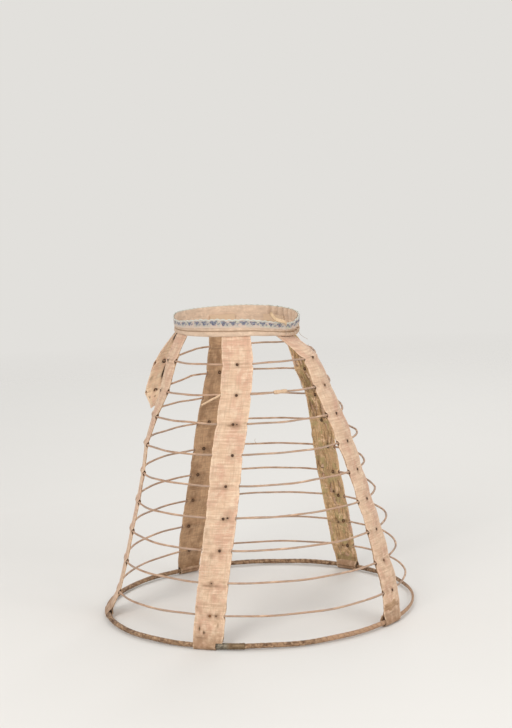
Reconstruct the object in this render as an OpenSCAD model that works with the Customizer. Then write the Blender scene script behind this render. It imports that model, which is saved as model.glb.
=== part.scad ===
// Crinoline cage of a child's dress, about 1860.
// Ten covered spring steel hoops hang on six double cotton tapes from a waistband.
// Front is -Y, the wearer's left is +X, and the cage stands on the tape feet at z = 0.

/* [Hoops] */
// Radius of the first hoop below the waist
top_hoop_r = 132.5; // [118:0.5:145]
// Radius of the ninth hoop, the lowest thin one
low_hoop_r = 219; // [200:1:226]
// Radius of the thick foot hoop
foot_hoop_r = 235.5; // [230:0.5:250]
// How the flare opens: 1 is a straight cone, more is fuller at the foot
flare_power = 1.2; // [1:0.05:1.4]
// Height from one thin hoop to the next
hoop_pitch = 43.6; // [36:0.2:50]
// Height from the ninth hoop to the foot hoop
foot_gap = 38; // [32:0.5:46]
// How far the middle hoops ride above even spacing
hoop_rise = 2.4; // [0:0.2:4]
// Thickness of a thin hoop with its cover
hoop_d = 3.6; // [3:0.1:4.4]
// Radius of the bends where the back of the first hoop flattens
top_bend_r = 40; // [40:1:70]
// Thickness of the foot hoop with its wrapping
foot_hoop_d = 8.4; // [7.6:0.2:12]

/* [Tapes] */
// Width of the tapes
tape_width = 46; // [34:1:50]
// Thickness of one layer of tape
cloth = 1; // [0.6:0.1:1.3]
// Room between a hoop and its pocket in the tape
pocket_ease = 0.35; // [0.3:0.05:0.6]
// Half the height of a pocket, from the hoop to the seam
pocket_reach = 6.5; // [5:0.5:9]
// How far the tapes stand out between the hoops
tape_puff = 2; // [0:0.25:3]
// How far each edge is drawn in at a hoop
tape_pinch = 1.5; // [0:0.25:3]
// How far the tape tops run up behind the waistband
seam_lap = 12; // [6:1:18]

/* [Waistband] */
// Inside of the waistband from side to side
waist_width = 216; // [190:1:230]
// Inside of the waistband from front to back
waist_depth = 183; // [170:1:210]
// Height of the waistband
waist_height = 25; // [20:0.5:32]
// Height from the top hoop to the waistband
waist_rise = 37; // [30:0.5:45]
// How far the waistband sits forward of the foot hoop
waist_forward = 18.5; // [0:0.5:22]
// Thickness of the waist tape
waist_wall = 1.2; // [1:0.1:1.8]
// Height of the figured ribbon
ribbon_height = 13; // [9:0.5:16]
// Thickness of the figured ribbon
ribbon_wall = 1; // [0.6:0.1:1.4]
// How far the ribbon stands above the waist tape
ribbon_lip = 1; // [0:0.25:2]
// Height of the rolled lower edge of the waist tape
roll_height = 7.5; // [5:0.5:9]
// Depth of the gathers at the back of the waist
gather_depth = 2.6; // [0:0.2:3.6]

/* [Front opening] */
// Angle from centre front to the ends of the two open hoops on the left
left_end_angle = 7; // [6:0.5:9]
// Angle from centre front at which the sprung right ends stop
right_end_angle = 15; // [14.5:0.5:17]
// Angle from centre front at which the sprung ends straighten
spring_angle = 50; // [44:1:56]
// Angle by which those straight ends hang down
spring_drop = 9.5; // [0:0.5:12]

/* [Fasteners] */
// Width of a stud head
stud_d = 4.6; // [3.6:0.1:4.8]
// Height of a stud head
stud_h = 1.2; // [0.8:0.1:1.6]
// Hole in the washer behind a stud
washer_bore = 2; // [1.4:0.1:2.4]
// Thickness of that washer
washer_h = 0.5; // [0.4:0.1:0.8]

/* [Repairs] */
// Thickness of the thread binding on the second hoop
binding_d = 6.4; // [5.4:0.2:8]
// Length of the thread binding
binding_length = 20; // [14:1:26]
// Length of the broken strand that hangs from the second hoop
strand_length = 30; // [20:1:36]
// Thickness of the broken strand
strand_d = 2.4; // [1.6:0.1:2.8]
// Length of the metal sleeve on the foot hoop
sleeve_length = 24; // [16:1:32]
// Wall of the metal sleeve
sleeve_wall = 0.7; // [0.4:0.1:1]
// Length of the tie that stands above the waistband
tie_length = 27; // [20:1:32]
// Thickness of the tie
tie_wall = 1.2; // [0.8:0.1:1.6]

/* [Hidden] */
$fn = 48;

// Colours
cream = "#d9b596";
inner_cream = "#a8895f";
band_white = "#d8c8b0";
ribbon_blue = "#a9a9b0";
hoop_tan = "#a87f5c";
wrap_brown = "#8a6844";
rust = "#4a3020";
steel = "#77756c";

// Degrees in a radian
DEG = 180 / PI;
// Hoops are counted from 0 at the top, and -1 stands for the waist
THIN = 9;
FOOT = 9;
WAIST = -1;
// The first hoops are open at the front, and their right ends spring outwards
OPEN_HOOPS = 2;
// How far each hand-bent hoop strays from the even flare, outwards
stray_r = [0, 1.4, -2.3, -0.6, -1.6, 0.2, 1.8, 0.8, 0, 0];
// How far each hoop sits behind the foot hoop's centre
stray_y = [7.5, 3, 2.5, 0, -0.5, 1, 3.5, 5, 6, 0];
// The back of the first hoops is flatter, from a tighter bend at each side. Each has an angle
// where the bend starts, its radius, and more room in the pocket that follows it.
FLAT_HOOPS = 3;
bend_from = [119, 126, 132];
bend_r = [top_bend_r, 1.9 * top_bend_r, 2.35 * top_bend_r];
bend_room = [0.5, 0.2, 0.1];
// Way that a bend faces where the flatter back starts
BEND_TO = 170;

// Angle of each tape's middle from centre front: at the waist, then at each hoop
side_at = [83, 72.5, 73, 71.5, 70, 69, 67.5, 65.5, 64, 63, 65];
back_left_at = [137, 128, 135, 139, 143, 146.5, 145.5, 144, 143, 142, 138];
back_right_at = [-139, -131, -136, -140, -140, -139, -137, -135.5, -135, -134, -135];
front_left_at = [17, 14.5, 14.5, 3, 0, 0, 0, 0, 0, 0, 0];
front_right_at = [-18, -23, -22.5, -4];

// Cells across a tape
CELLS = 3;
// Sides of the waistband's outline
WAIST_SIDES = 144;
// Room between the waistband and the tapes sewn behind it
seam_ease = 0.3;
// Half the height of the flat on a pocket, which carries a stud
pocket_flat = stud_d / 2 + 0.1;
// Distance from a thin hoop's middle to its pocket
pocket_in = hoop_d / 2 + pocket_ease;
// The same at the foot, where the tape turns up round the thick hoop
foot_in = foot_hoop_d / 2 + pocket_ease;
// Height of the foot hoop's middle above the ground
foot_z = 1.1 * foot_in + cloth;
waist_mean_r = (waist_width + waist_depth) / 4;
waist_z = hoop_z(0) + waist_rise;

function lerp(a, b, f) = a + (b - a) * f;

// Height of the middle of hoop k
function hoop_z(k) = k == FOOT ? foot_z
  : foot_z + foot_gap + (THIN - 1 - k) * hoop_pitch
    + hoop_rise * sin(180 * (THIN - 1 - k) / (THIN - 1));

// Radius of hoop k
function hoop_r(k) = k == FOOT ? foot_hoop_r
  : top_hoop_r + (low_hoop_r - top_hoop_r) * pow(k / (THIN - 1), flare_power) + stray_r[k];

function ring_z(k) = k == WAIST ? waist_z : hoop_z(k);

// Middle of a bend on the left, as [x, y], and the radius and y of the flatter back's middle
function bend_x(k) = (hoop_r(k) - bend_r[k]) * sin(bend_from[k]);
function bend_y(k) = stray_y[k] - (hoop_r(k) - bend_r[k]) * cos(bend_from[k]);
function back_r(k) = bend_r[k] + bend_x(k) / sin(BEND_TO);
function back_y(k) = bend_y(k) + (back_r(k) - bend_r[k]) * cos(BEND_TO);

function is_bent(k, angle) = k >= 0 && k < FLAT_HOOPS && abs(angle) > bend_from[k];
function is_sprung(k, angle) = k < OPEN_HOOPS && angle > -spring_angle && angle < 0;

// An angle measures the way along a hoop from centre front, at its main radius.
// This is the way that the hoop faces there.
function bend_share(k, angle) =
  (abs(angle) - bend_from[k]) * hoop_r(k) / bend_r[k] / (BEND_TO - bend_from[k]);
function facing(k, angle) =
  is_sprung(k, angle) ? -spring_angle
  : !is_bent(k, angle) ? angle
  : let (share = bend_share(k, angle), span = BEND_TO - bend_from[k])
    sign(angle) * (share < 1 ? bend_from[k] + share * span
      : BEND_TO + (share - 1) * span * bend_r[k] / back_r(k));

// Point on hoop k at an angle from centre front, moved outwards by out
function hoop_point(k, angle, out) =
  let (r = hoop_r(k) + out, y = stray_y[k], z = hoop_z(k), way = facing(k, angle))
  is_sprung(k, angle)
  ? let (run = hoop_r(k) * (angle + spring_angle) / DEG, level = run * cos(spring_drop))
    [-r * sin(spring_angle) + level * cos(spring_angle),
     y - r * cos(spring_angle) - level * sin(spring_angle), z - run * sin(spring_drop)]
  : !is_bent(k, angle) ? [r * sin(angle), y - r * cos(angle), z]
  : bend_share(k, angle) < 1
  ? [sign(angle) * bend_x(k) + (bend_r[k] + out) * sin(way),
     bend_y(k) - (bend_r[k] + out) * cos(way), z]
  : [(back_r(k) + out) * sin(way), back_y(k) - (back_r(k) + out) * cos(way), z];

// Extra room outside the hoop in a pocket at a bend
function room(k, angle) = is_bent(k, angle) ? bend_room[k] : 0;

// Depth of the gathers at an angle: none in front, a row of small pleats behind
GATHER_FROM = 128;
GATHERS = 13;
function gather(angle) =
  let (a = abs(angle > 180 ? angle - 360 : angle))
  a < GATHER_FROM ? 0
  : gather_depth * (1 - cos(360 * GATHERS * (a - GATHER_FROM) / (180 - GATHER_FROM) / 2)) / 2;

// Point on the inside of the waistband, moved outwards by out
function waist_point(angle, out) =
  [(waist_width / 2 + out) * sin(angle),
   -waist_forward - (waist_depth / 2 + out) * cos(angle), waist_z];

// Point across a tape: across runs round the hoop from the tape's middle
function ring_point(k, middle, across, out) =
  k == WAIST ? waist_point(middle + across / waist_mean_r * DEG, out)
  : hoop_point(k, middle + across / hoop_r(k) * DEG, out);

// A row of a tape is [ring, share of the way to the next ring, rise, inset, open, outs]
// where outs are the four cloth faces from the outermost to the innermost.
function flat_outs(mid) = [mid + cloth, mid, mid, mid - cloth];
function open_outs(half) = [half + cloth, half, -half, -half - cloth];

function row_point(angles, row, layer, j) =
  let (
    k = row[0],
    across = (j / CELLS - 0.5) * (tape_width - 2 * row[3]),
    loose = row[4] && row[1] == 0 && layer < 2 ? room(k, angles[k + 1]) : 0,
    here = ring_point(k, angles[k + 1], across, row[5][layer] + loose)
  )
  row[1] == 0 ? here + [0, 0, row[2]]
  : lerp(here, ring_point(k + 1, angles[k + 2], across, row[5][layer]), row[1]);

// Rows from the waist seam to the first pocket
function top_rows(hollow) =
  let (behind = flat_outs(-seam_ease - cloth))
  [[WAIST, 0, seam_lap, 0, false, behind],
   [WAIST, 0, 0, 0, false, behind],
   [WAIST, 0.5, 0, 0, false, flat_outs(hollow)]];

// Rows of the pocket round hoop k, and of the cloth below it
function pocket_rows(k, puff, last) =
  let (
    above = pocket_reach / (ring_z(k - 1) - ring_z(k)),
    below = pocket_reach / (ring_z(k) - ring_z(k + 1))
  )
  [[k - 1, 1 - above, 0, tape_pinch / 2, true, flat_outs(0)],
   [k, 0, pocket_flat, tape_pinch, true, open_outs(pocket_in)],
   [k, 0, -pocket_flat, tape_pinch, true, open_outs(pocket_in)],
   [k, below, 0, tape_pinch / 2, false, flat_outs(0)],
   if (!last) [k, 0.5, 0, 0, false, flat_outs(puff)]];

// Rows of the foot, where the tape goes down round the thick hoop and up again
FOOT_SIDE = 0.414;
function foot_rows() =
  let (
    side = FOOT_SIDE * foot_in,
    above = 2.8 * foot_in / (ring_z(FOOT - 1) - ring_z(FOOT)),
    inset = tape_pinch
  )
  [[FOOT - 1, 1 - above, 0, inset / 2, true, flat_outs(0)],
   [FOOT, 0, side, inset, true, open_outs(foot_in)],
   [FOOT, 0, -side, inset, true, open_outs(foot_in)],
   [FOOT, 0, -foot_in, 2 * inset, true, open_outs(side)],
   [FOOT, 0, -1.1 * foot_in, 2 * inset, false, [side + 0.7 * cloth, 0, 0, -side - 0.7 * cloth]],
   [FOOT, 0, -foot_z, 2 * inset, false, [side, 0, 0, -side]]];

function long_rows() = concat(
  top_rows(0),
  [for (k = [0 : THIN - 1]) each pocket_rows(k, tape_puff, k == THIN - 1)],
  foot_rows());

// The short tape laps over its neighbour and ends just above the third hoop
function short_rows() =
  let (
    lap = flat_outs(2 * cloth + pocket_ease),
    end = 1 - 1.7 * pocket_reach / (ring_z(OPEN_HOOPS - 1) - ring_z(OPEN_HOOPS))
  )
  concat(
    top_rows(tape_puff),
    pocket_rows(0, tape_puff, false),
    pocket_rows(1, tape_puff, false),
    [[OPEN_HOOPS - 1, end, 0, tape_pinch, false, lap]]);

// Skin over the rows of a tape, with a pocket left open where a row says so
module tape_solid(angles, rows) {
  N = len(rows);
  W = CELLS + 1;
  points = [for (row = rows) for (layer = [0 : 3]) for (j = [0 : CELLS])
    row_point(angles, row, layer, j)];
  function joined(i) = rows[i][5][1] == rows[i][5][2];
  function at(i, layer, j) = (4 * i + (layer == 2 && joined(i) ? 1 : layer)) * W + j;
  function quad(a, b, c, d) = [[a, b, c], [a, c, d]];
  outer = [for (i = [0 : N - 2]) for (j = [0 : CELLS - 1])
    each quad(at(i, 0, j), at(i, 0, j + 1), at(i + 1, 0, j + 1), at(i + 1, 0, j))];
  inner = [for (i = [0 : N - 2]) for (j = [0 : CELLS - 1])
    each quad(at(i, 3, j), at(i + 1, 3, j), at(i + 1, 3, j + 1), at(i, 3, j + 1))];
  pocket_out = [for (i = [0 : N - 2]) if (rows[i][4]) for (j = [0 : CELLS - 1])
    each quad(at(i, 1, j), at(i + 1, 1, j), at(i + 1, 1, j + 1), at(i, 1, j + 1))];
  pocket_back = [for (i = [0 : N - 2]) if (rows[i][4]) for (j = [0 : CELLS - 1])
    each quad(at(i, 2, j), at(i, 2, j + 1), at(i + 1, 2, j + 1), at(i + 1, 2, j))];
  edges = [for (i = [0 : N - 2]) for (pair = [[0, 1], [2, 3]]) each concat(
    quad(at(i, pair[0], 0), at(i + 1, pair[0], 0), at(i + 1, pair[1], 0), at(i, pair[1], 0)),
    quad(at(i, pair[0], CELLS), at(i, pair[1], CELLS),
      at(i + 1, pair[1], CELLS), at(i + 1, pair[0], CELLS)))];
  top = [for (pair = [[0, 1], [2, 3]]) for (j = [0 : CELLS - 1])
    each quad(at(0, pair[0], j), at(0, pair[1], j), at(0, pair[1], j + 1), at(0, pair[0], j + 1))];
  bottom = [for (pair = [[0, 1], [2, 3]]) for (j = [0 : CELLS - 1])
    each quad(at(N - 1, pair[0], j), at(N - 1, pair[0], j + 1),
      at(N - 1, pair[1], j + 1), at(N - 1, pair[1], j))];
  polyhedron(points, concat(outer, inner, pocket_out, pocket_back, edges, top, bottom));
}

module front_tape_left() {
  color(cream) tape_solid(front_left_at, long_rows());
}

module front_tape_right() {
  color(inner_cream) tape_solid(front_right_at, short_rows());
}

module side_tape_left() {
  color(cream) tape_solid(side_at, long_rows());
}

module side_tape_right() {
  color(inner_cream) tape_solid(-side_at, long_rows());
}

module back_tape_left() {
  color(cream) tape_solid(back_left_at, long_rows());
}

module back_tape_right() {
  color(inner_cream) tape_solid(back_right_at, long_rows());
}

// Piece of a ring with a round section, between two angles from centre front
module round_arc(middle, r, from, to, d, bore = 0) {
  translate(middle)
    rotate([0, 0, from - 90])
      rotate_extrude(angle = to - from, $fn = 180)
        translate([r, 0])
          difference() {
            circle(d = d);
            if (bore > 0) circle(d = bore);
          }
}

module hoop_arc(k, from, to, d, bore = 0) {
  round_arc([0, stray_y[k], hoop_z(k)], hoop_r(k), from, to, d, bore);
}

// Bends are let into their neighbours, a hair thinner than the rest
root = 0.5;
root_step = 0.02;
// A straight end starts in a round knee that is a hair thicker
knee_step = 0.1;

// The two bends and the flatter back of hoop k
module hoop_back(k) {
  let_in = root / bend_r[k] * DEG;
  for (side = [-1, 1])
    round_arc([side * bend_x(k), bend_y(k), hoop_z(k)], bend_r[k],
      (side > 0 ? bend_from[k] : 360 - BEND_TO) - let_in,
      (side > 0 ? BEND_TO : 360 - bend_from[k]) + let_in,
      hoop_d - root_step);
  round_arc([0, back_y(k), hoop_z(k)], back_r(k), BEND_TO, 360 - BEND_TO, hoop_d);
}

module thin_hoop(k) {
  color(hoop_tan)
    if (k < OPEN_HOOPS) {
      run = hoop_r(k) * (spring_angle - right_end_angle) / DEG;
      hoop_arc(k, left_end_angle, bend_from[k], hoop_d);
      hoop_back(k);
      hoop_arc(k, 360 - bend_from[k], 360 - spring_angle, hoop_d);
      translate(hoop_point(k, -spring_angle, 0))
        rotate([0, 90 + spring_drop, -spring_angle]) {
          sphere(d = hoop_d + knee_step);
          cylinder(h = run, d = hoop_d);
        }
    } else if (k < FLAT_HOOPS) {
      hoop_arc(k, -bend_from[k], bend_from[k], hoop_d);
      hoop_back(k);
    } else {
      hoop_arc(k, 0, 360, hoop_d);
    }
}

module foot_hoop() {
  color(wrap_brown) hoop_arc(FOOT, 0, 360, foot_hoop_d);
}

// Thread bound over the lapped ends of the second hoop
BINDING_AT = 101;
module hoop_2_binding() {
  half = binding_length / 2 / hoop_r(1) * DEG;
  bore = hoop_d + pocket_ease / 2;
  color(cream)
    for (share = [0 : 3])
      hoop_arc(1, BINDING_AT + half * (share / 2 - 1), BINDING_AT + half * (share / 2 - 0.5),
        binding_d - 0.9 * (share % 2), bore);
}

// Strand of the second hoop that has broken away beside the left tape
module hoop_2_broken_strand() {
  lift = (hoop_d + strand_d) / 2 + 0.15;
  edge = side_at[2] - (tape_width / 2 + strand_d) / hoop_r(1) * DEG;
  color(hoop_tan)
    translate(hoop_point(1, edge, 0.6) - [0, 0, lift])
      rotate([0, 0, edge - 184])
        rotate([0, 116, 0]) {
          cylinder(h = strand_length, d = strand_d);
          sphere(d = strand_d);
        }
}

// Sleeve that joins the ends of the foot hoop, beside the left tape
module foot_hoop_sleeve() {
  start = side_at[10] + (tape_width / 2 + 1) / foot_hoop_r * DEG;
  bore = foot_hoop_d + pocket_ease / 2;
  color(steel)
    hoop_arc(FOOT, start, start + sleeve_length / foot_hoop_r * DEG, bore + 2 * sleeve_wall, bore);
}

// Flat outline of the waistband, grown outwards from its inside
module waist_outline(grow) {
  polygon([for (i = [0 : WAIST_SIDES - 1])
    let (a = 360 * i / WAIST_SIDES, p = waist_point(a, grow + gather(a)))
    [p[0], p[1]]]);
}

module waist_ring(from, to, inner, outer) {
  translate([0, 0, waist_z + from])
    linear_extrude(to - from)
      difference() {
        waist_outline(outer);
        waist_outline(inner);
      }
}

// The waist tape has a rolled lower edge, a stitched groove and a plain upper part
GROOVE = 0.9;
module waist_tape() {
  color(band_white) {
    waist_ring(0, roll_height, 0, waist_wall + ribbon_wall / 2);
    waist_ring(roll_height, roll_height + GROOVE, 0, waist_wall - 0.3);
    waist_ring(roll_height + GROOVE, waist_height, 0, waist_wall);
  }
}

module waist_ribbon() {
  color(ribbon_blue)
    waist_ring(waist_height + ribbon_lip - ribbon_height, waist_height + ribbon_lip,
      waist_wall, waist_wall + ribbon_wall);
}

// End of the drawstring, which stands up from behind the waistband and leans forward
TIE_AT = 121;
module waist_tie() {
  foot = 0.35 * tie_length;
  depth = 0.4 * waist_height;
  color(band_white)
    translate(waist_point(TIE_AT, -seam_ease - tie_wall - 1) + [0, 0, waist_height])
      rotate([90, 0, TIE_AT - 180])
        translate([0, 0, -tie_wall])
          linear_extrude(tie_wall)
            polygon([
              [0, -depth], [-foot, -depth], [-foot, 1.5], [0, 4],
              [tie_length - foot, 9], [tie_length - foot + 2, 4], [foot, -1]
            ]);
}

// Distance from a hoop to the flat of its pocket, outside and inside
function near_r(k, angle) = is_bent(k, angle) ? bend_r[k] : hoop_r(k);
function flat_out(k, angle, out) =
  is_sprung(k, angle) ? out
  : let (
      r = near_r(k, angle),
      cell_half = (tape_width - 2 * tape_pinch) / CELLS / 2 / r * DEG
    )
    (r + out) * cos(cell_half) - r;

// Stud head outside and washer inside, at hoop k
module stud(k, angle) {
  out = pocket_in + cloth;
  translate(hoop_point(k, angle, 0))
    rotate([0, 0, facing(k, angle) - 90])
      rotate([0, 90, 0]) {
        translate([0, 0, flat_out(k, angle, out + room(k, angle))]) {
          cylinder(h = stud_h / 2, d = stud_d);
          translate([0, 0, stud_h / 2])
            cylinder(h = stud_h / 2, d1 = stud_d, d2 = 0.55 * stud_d);
        }
        translate([0, 0, flat_out(k, angle, -out) - washer_h])
          difference() {
            cylinder(h = washer_h, d = stud_d);
            translate([0, 0, -1]) cylinder(h = washer_h + 2, d = washer_bore);
          }
      }
}

module stud_row(angles, last) {
  color(rust)
    for (k = [0 : last])
      stud(k, angles[k + 1]);
}

waist_tape();
waist_ribbon();
waist_tie();
front_tape_left();
front_tape_right();
side_tape_left();
side_tape_right();
back_tape_left();
back_tape_right();
thin_hoop(0);  // hoop_1
thin_hoop(1);  // hoop_2
thin_hoop(2);  // hoop_3
thin_hoop(3);  // hoop_4
thin_hoop(4);  // hoop_5
thin_hoop(5);  // hoop_6
thin_hoop(6);  // hoop_7
thin_hoop(7);  // hoop_8
thin_hoop(8);  // hoop_9
foot_hoop();
hoop_2_binding();
hoop_2_broken_strand();
foot_hoop_sleeve();
stud_row(front_left_at, THIN - 1);  // studs_front_left
stud_row(front_right_at, OPEN_HOOPS - 1);  // studs_front_right
stud_row(side_at, THIN - 1);  // studs_side_left
stud_row(-side_at, THIN - 1);  // studs_side_right
stud_row(back_left_at, THIN - 1);  // studs_back_left
stud_row(back_right_at, THIN - 1);  // studs_back_right
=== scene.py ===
"""Dresses the frame of a child's crinoline cage: double cotton tapes, braided steel hoops,
a wrapped foot hoop, a waistband with a figured ribbon, rusted studs, and a plain studio."""

import math

import bpy
import numpy as np
from mathutils import Matrix, Vector, noise


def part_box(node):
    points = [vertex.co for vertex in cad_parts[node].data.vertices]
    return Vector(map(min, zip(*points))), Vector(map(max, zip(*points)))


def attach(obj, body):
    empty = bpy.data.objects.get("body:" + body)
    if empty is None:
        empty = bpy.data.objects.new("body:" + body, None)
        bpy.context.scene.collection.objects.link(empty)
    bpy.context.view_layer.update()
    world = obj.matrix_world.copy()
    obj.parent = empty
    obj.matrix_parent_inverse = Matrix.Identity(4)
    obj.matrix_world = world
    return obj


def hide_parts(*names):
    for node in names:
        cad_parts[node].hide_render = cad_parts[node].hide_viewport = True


bl_info = {
    "name": "Crinoline cage",
    "version": (1, 0, 0),
    "blender": (4, 5, 0),
    "location": "3D View > Sidebar > Crinoline",
    "description": "Cloth, hoops, studs and studio for a child's crinoline cage",
    "category": "Object",
}

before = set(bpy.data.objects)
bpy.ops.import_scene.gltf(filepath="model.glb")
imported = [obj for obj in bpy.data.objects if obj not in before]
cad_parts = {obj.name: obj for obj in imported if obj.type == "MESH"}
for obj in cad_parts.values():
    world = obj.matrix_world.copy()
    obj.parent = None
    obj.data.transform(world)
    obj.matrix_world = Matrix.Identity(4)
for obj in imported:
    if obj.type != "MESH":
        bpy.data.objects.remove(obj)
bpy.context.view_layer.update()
BODY = "root"

# Sizes in the functions below are in millimetres, and a finished mesh is in metres
MM = 0.001
WAIST = -1
FOOT = 9
OPEN_HOOPS = 2
# Angles are in degrees from centre front, towards the wearer's left
SPRING_ANGLE = 50
# Angle by which the sprung ends hang down
SPRING_DROP = 9.5
LEFT_END_ANGLE = 7
RIGHT_END_ANGLE = 15


def srgb(red, green, blue):
    """Linear colour from three numbers from 0 to 255"""
    shares = [value / 255 for value in (red, green, blue)]
    return tuple(s / 12.92 if s <= 0.04045 else ((s + 0.055) / 1.055) ** 2.4 for s in shares)


# Sizes taken from the frame

# The backs of the first hoops are flatter, from a tighter bend at each side. Each has the angle
# where the bend starts, its radius, and the y of the hoop's middle, as in the frame.
FLAT_BACKS = [(119, 40.0, 7.5), (126, 76.0, 3.0), (132, 94.0, 2.5)]
# Way that a bend faces where the flatter back starts
BEND_TO = 170


class Hoop:
    """Radius, middle and thickness of one hoop of the frame, and the bends of a flat back. The
    box of an open hoop is as high as its hanging end makes it, so the hoop comes out thicker
    and lower here, and narrower, than its solid. RAISED, SPRUNG_ON and LEFT_ON go with that."""

    def __init__(self, node, flat=None):
        low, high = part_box(node)
        thick = high.z - low.z
        self.r = (high.x - low.x - thick) / 2 / MM
        self.y = (high.y - thick / 2) / MM - self.r
        self.z = (low.z + high.z) / 2 / MM
        self.thick = thick / MM
        self.flat = flat is not None
        # Largest angle along the hoop, at centre back
        self.end = 180.0
        if self.flat:
            self.bend_from, self.bend_r, self.y = flat
            turn, last = math.radians(self.bend_from), math.radians(BEND_TO)
            self.bend_x = (self.r - self.bend_r) * math.sin(turn)
            self.bend_y = self.y - (self.r - self.bend_r) * math.cos(turn)
            self.back_r = self.bend_r + self.bend_x / math.sin(last)
            self.back_y = self.bend_y + (self.back_r - self.bend_r) * math.cos(last)
            run = (BEND_TO - self.bend_from) * self.bend_r + (180 - BEND_TO) * self.back_r
            self.end = self.bend_from + run / self.r

    def place(self, angle, out):
        """x and y at angles from centre front, moved outwards by out. An angle measures the
        way along the hoop at its main radius, also where the back is flatter."""
        a = np.radians(angle)
        x, y = (self.r + out) * np.sin(a), self.y - (self.r + out) * np.cos(a)
        if not self.flat:
            return x, y
        run = (np.abs(angle) - self.bend_from) * self.r
        span = (BEND_TO - self.bend_from) * self.bend_r
        way = np.radians(self.bend_from + run / self.bend_r)
        bent_x = self.bend_x + (self.bend_r + out) * np.sin(way)
        bent_y = self.bend_y - (self.bend_r + out) * np.cos(way)
        way = np.radians(BEND_TO + (run - span) / self.back_r)
        back_x = (self.back_r + out) * np.sin(way)
        back_y = self.back_y - (self.back_r + out) * np.cos(way)
        x = np.where(run < 0, x, np.sign(angle) * np.where(run < span, bent_x, back_x))
        return x, np.where(run < 0, y, np.where(run < span, bent_y, back_y))


HOOPS = [
    Hoop(f"hoop_{number}", FLAT_BACKS[number - 1] if number <= len(FLAT_BACKS) else None)
    for number in range(1, 10)
]
HOOPS.append(Hoop("foot_hoop"))
BAND_LOW, BAND_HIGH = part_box("waist_tape")
RIBBON_LOW, RIBBON_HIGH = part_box("waist_ribbon")
BAND_WALL = 1.7
# Half the waist's width and half its depth, inside the waistband's wall
WAIST_HALF = ((BAND_HIGH.x - BAND_LOW.x) / 2 / MM - BAND_WALL, 91.5)
WAIST_Y = BAND_LOW.y / MM + WAIST_HALF[1] + BAND_WALL
WAIST_Z = BAND_LOW.z / MM
WAIST_MEAN = sum(WAIST_HALF) / 2
BAND_HEIGHT = (BAND_HIGH.z - BAND_LOW.z) / MM

# Angle of each tape's middle at the waist and then at each hoop, as in the frame
TAPES = {
    "front_tape_left": [17, 14.5, 14.5, 3, 0, 0, 0, 0, 0, 0, 0],
    "front_tape_right": [-18, -23, -22.5, -4],
    "side_tape_left": [83, 72.5, 73, 71.5, 70, 69, 67.5, 65.5, 64, 63, 65],
    "side_tape_right": [-83, -72.5, -73, -71.5, -70, -69, -67.5, -65.5, -64, -63, -65],
    "back_tape_left": [137, 128, 135, 139, 143, 146.5, 145.5, 144, 143, 142, 138],
    "back_tape_right": [-139, -131, -136, -140, -140, -139, -137, -135.5, -135, -134, -135],
}
# How far each tape stands out between the hoops, from the waist down
PUFFS = {
    "front_tape_left": [1.0, 0.3, 0.0],
    "front_tape_right": [4.0, 1.6, 1.0],
    "side_tape_left": [2.4],
    "side_tape_right": [2.2],
    "back_tape_left": [3.8],
    "back_tape_right": [2.4],
}


def measure(name, description, default):
    """A length in metres that shows in the panel"""
    return bpy.props.FloatProperty(
        name=name,
        description=description,
        default=default,
        unit="LENGTH",
    )


class CageSizes(bpy.types.PropertyGroup):
    """Sizes that a user would change"""

    tape_width: measure("Tape width", "Width of the cotton tapes", 0.046)
    cloth: measure("Cloth", "Thickness of one layer of tape", 0.0008)
    pinch: measure("Pinch", "How far each edge of a tape is drawn in at a hoop", 0.0017)
    hoop_thickness: measure(
        "Hoop thickness", "Thickness of a thin hoop with its braided cover", HOOPS[4].thick * MM
    )
    foot_thickness: measure(
        "Foot hoop thickness",
        "Thickness of the foot hoop with its wrapping",
        HOOPS[FOOT].thick * MM,
    )
    stud_width: measure("Stud width", "Width of a stud head", 0.0044)


def colour(name, description, red, green, blue):
    """A colour that shows in the panel, from three numbers from 0 to 255"""
    return bpy.props.FloatVectorProperty(
        name=name,
        description=description,
        default=srgb(red, green, blue),
        subtype="COLOR",
        size=3,
        min=0,
        max=1,
    )


class CageColours(bpy.types.PropertyGroup):
    """Colours that a user would change"""

    tape: colour("Tape", "Aged cotton of the tapes' outer layer", 236, 201, 170)
    tape_pink: colour("Tape, pink", "Pinkish patches of the outer layer", 224, 178, 152)
    # Also the tint of the painted highlight along the tapes' edges
    tape_pale: colour("Tape, pale", "Pale patches of the outer layer", 250, 224, 194)
    inner: colour("Inner tape", "Browned cotton of the inner layer", 213, 173, 136)
    # Also the soil of the tapes and the waistband, from which their painted shade in folds, slits
    # and the waistband's groove is made
    inner_dark: colour("Inner tape, dark", "Dark streaks of the inner layer", 128, 98, 70)
    inner_pale: colour("Inner tape, pale", "Pale threads of the inner layer", 225, 188, 150)
    band: colour("Waist tape", "Cotton of the waistband", 214, 187, 163)
    tie: colour("Tie", "Drawstring of the waistband", 220, 190, 154)
    ribbon: colour("Ribbon", "Ground of the figured ribbon", 187, 178, 166)
    figure: colour("Ribbon figure", "Dark figure of the ribbon", 58, 64, 98)
    cover: colour("Hoop cover", "Braided cover of the thin hoops", 222, 186, 156)
    cover_dark: colour("Hoop cover, dark", "Worn and dirty stretches of the cover", 168, 130, 104)
    wrap: colour("Foot wrapping", "Wrapping of the foot hoop", 160, 128, 98)
    wrap_dark: colour("Foot wrapping, dark", "Dark turns of the wrapping", 92, 66, 48)
    rust: colour("Rust", "Rusted studs and their stains", 88, 62, 44)
    steel: colour("Sleeve", "Tarnished steel of the sleeve", 140, 131, 114)
    floor: colour("Floor", "Studio floor and background", 226, 224, 220)


# Shapes


def waves(seed, counts, size):
    """Sum of a few waves round a hoop with settled phases, as a function of the angle"""
    draw = np.random.RandomState(seed)
    parts = [(n, size / math.sqrt(len(counts)), draw.uniform(0, 2 * math.pi)) for n in counts]

    def at(angle):
        a = np.radians(angle)
        return sum(height * np.sin(n * a + phase) for n, height, phase in parts)

    return at


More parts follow.
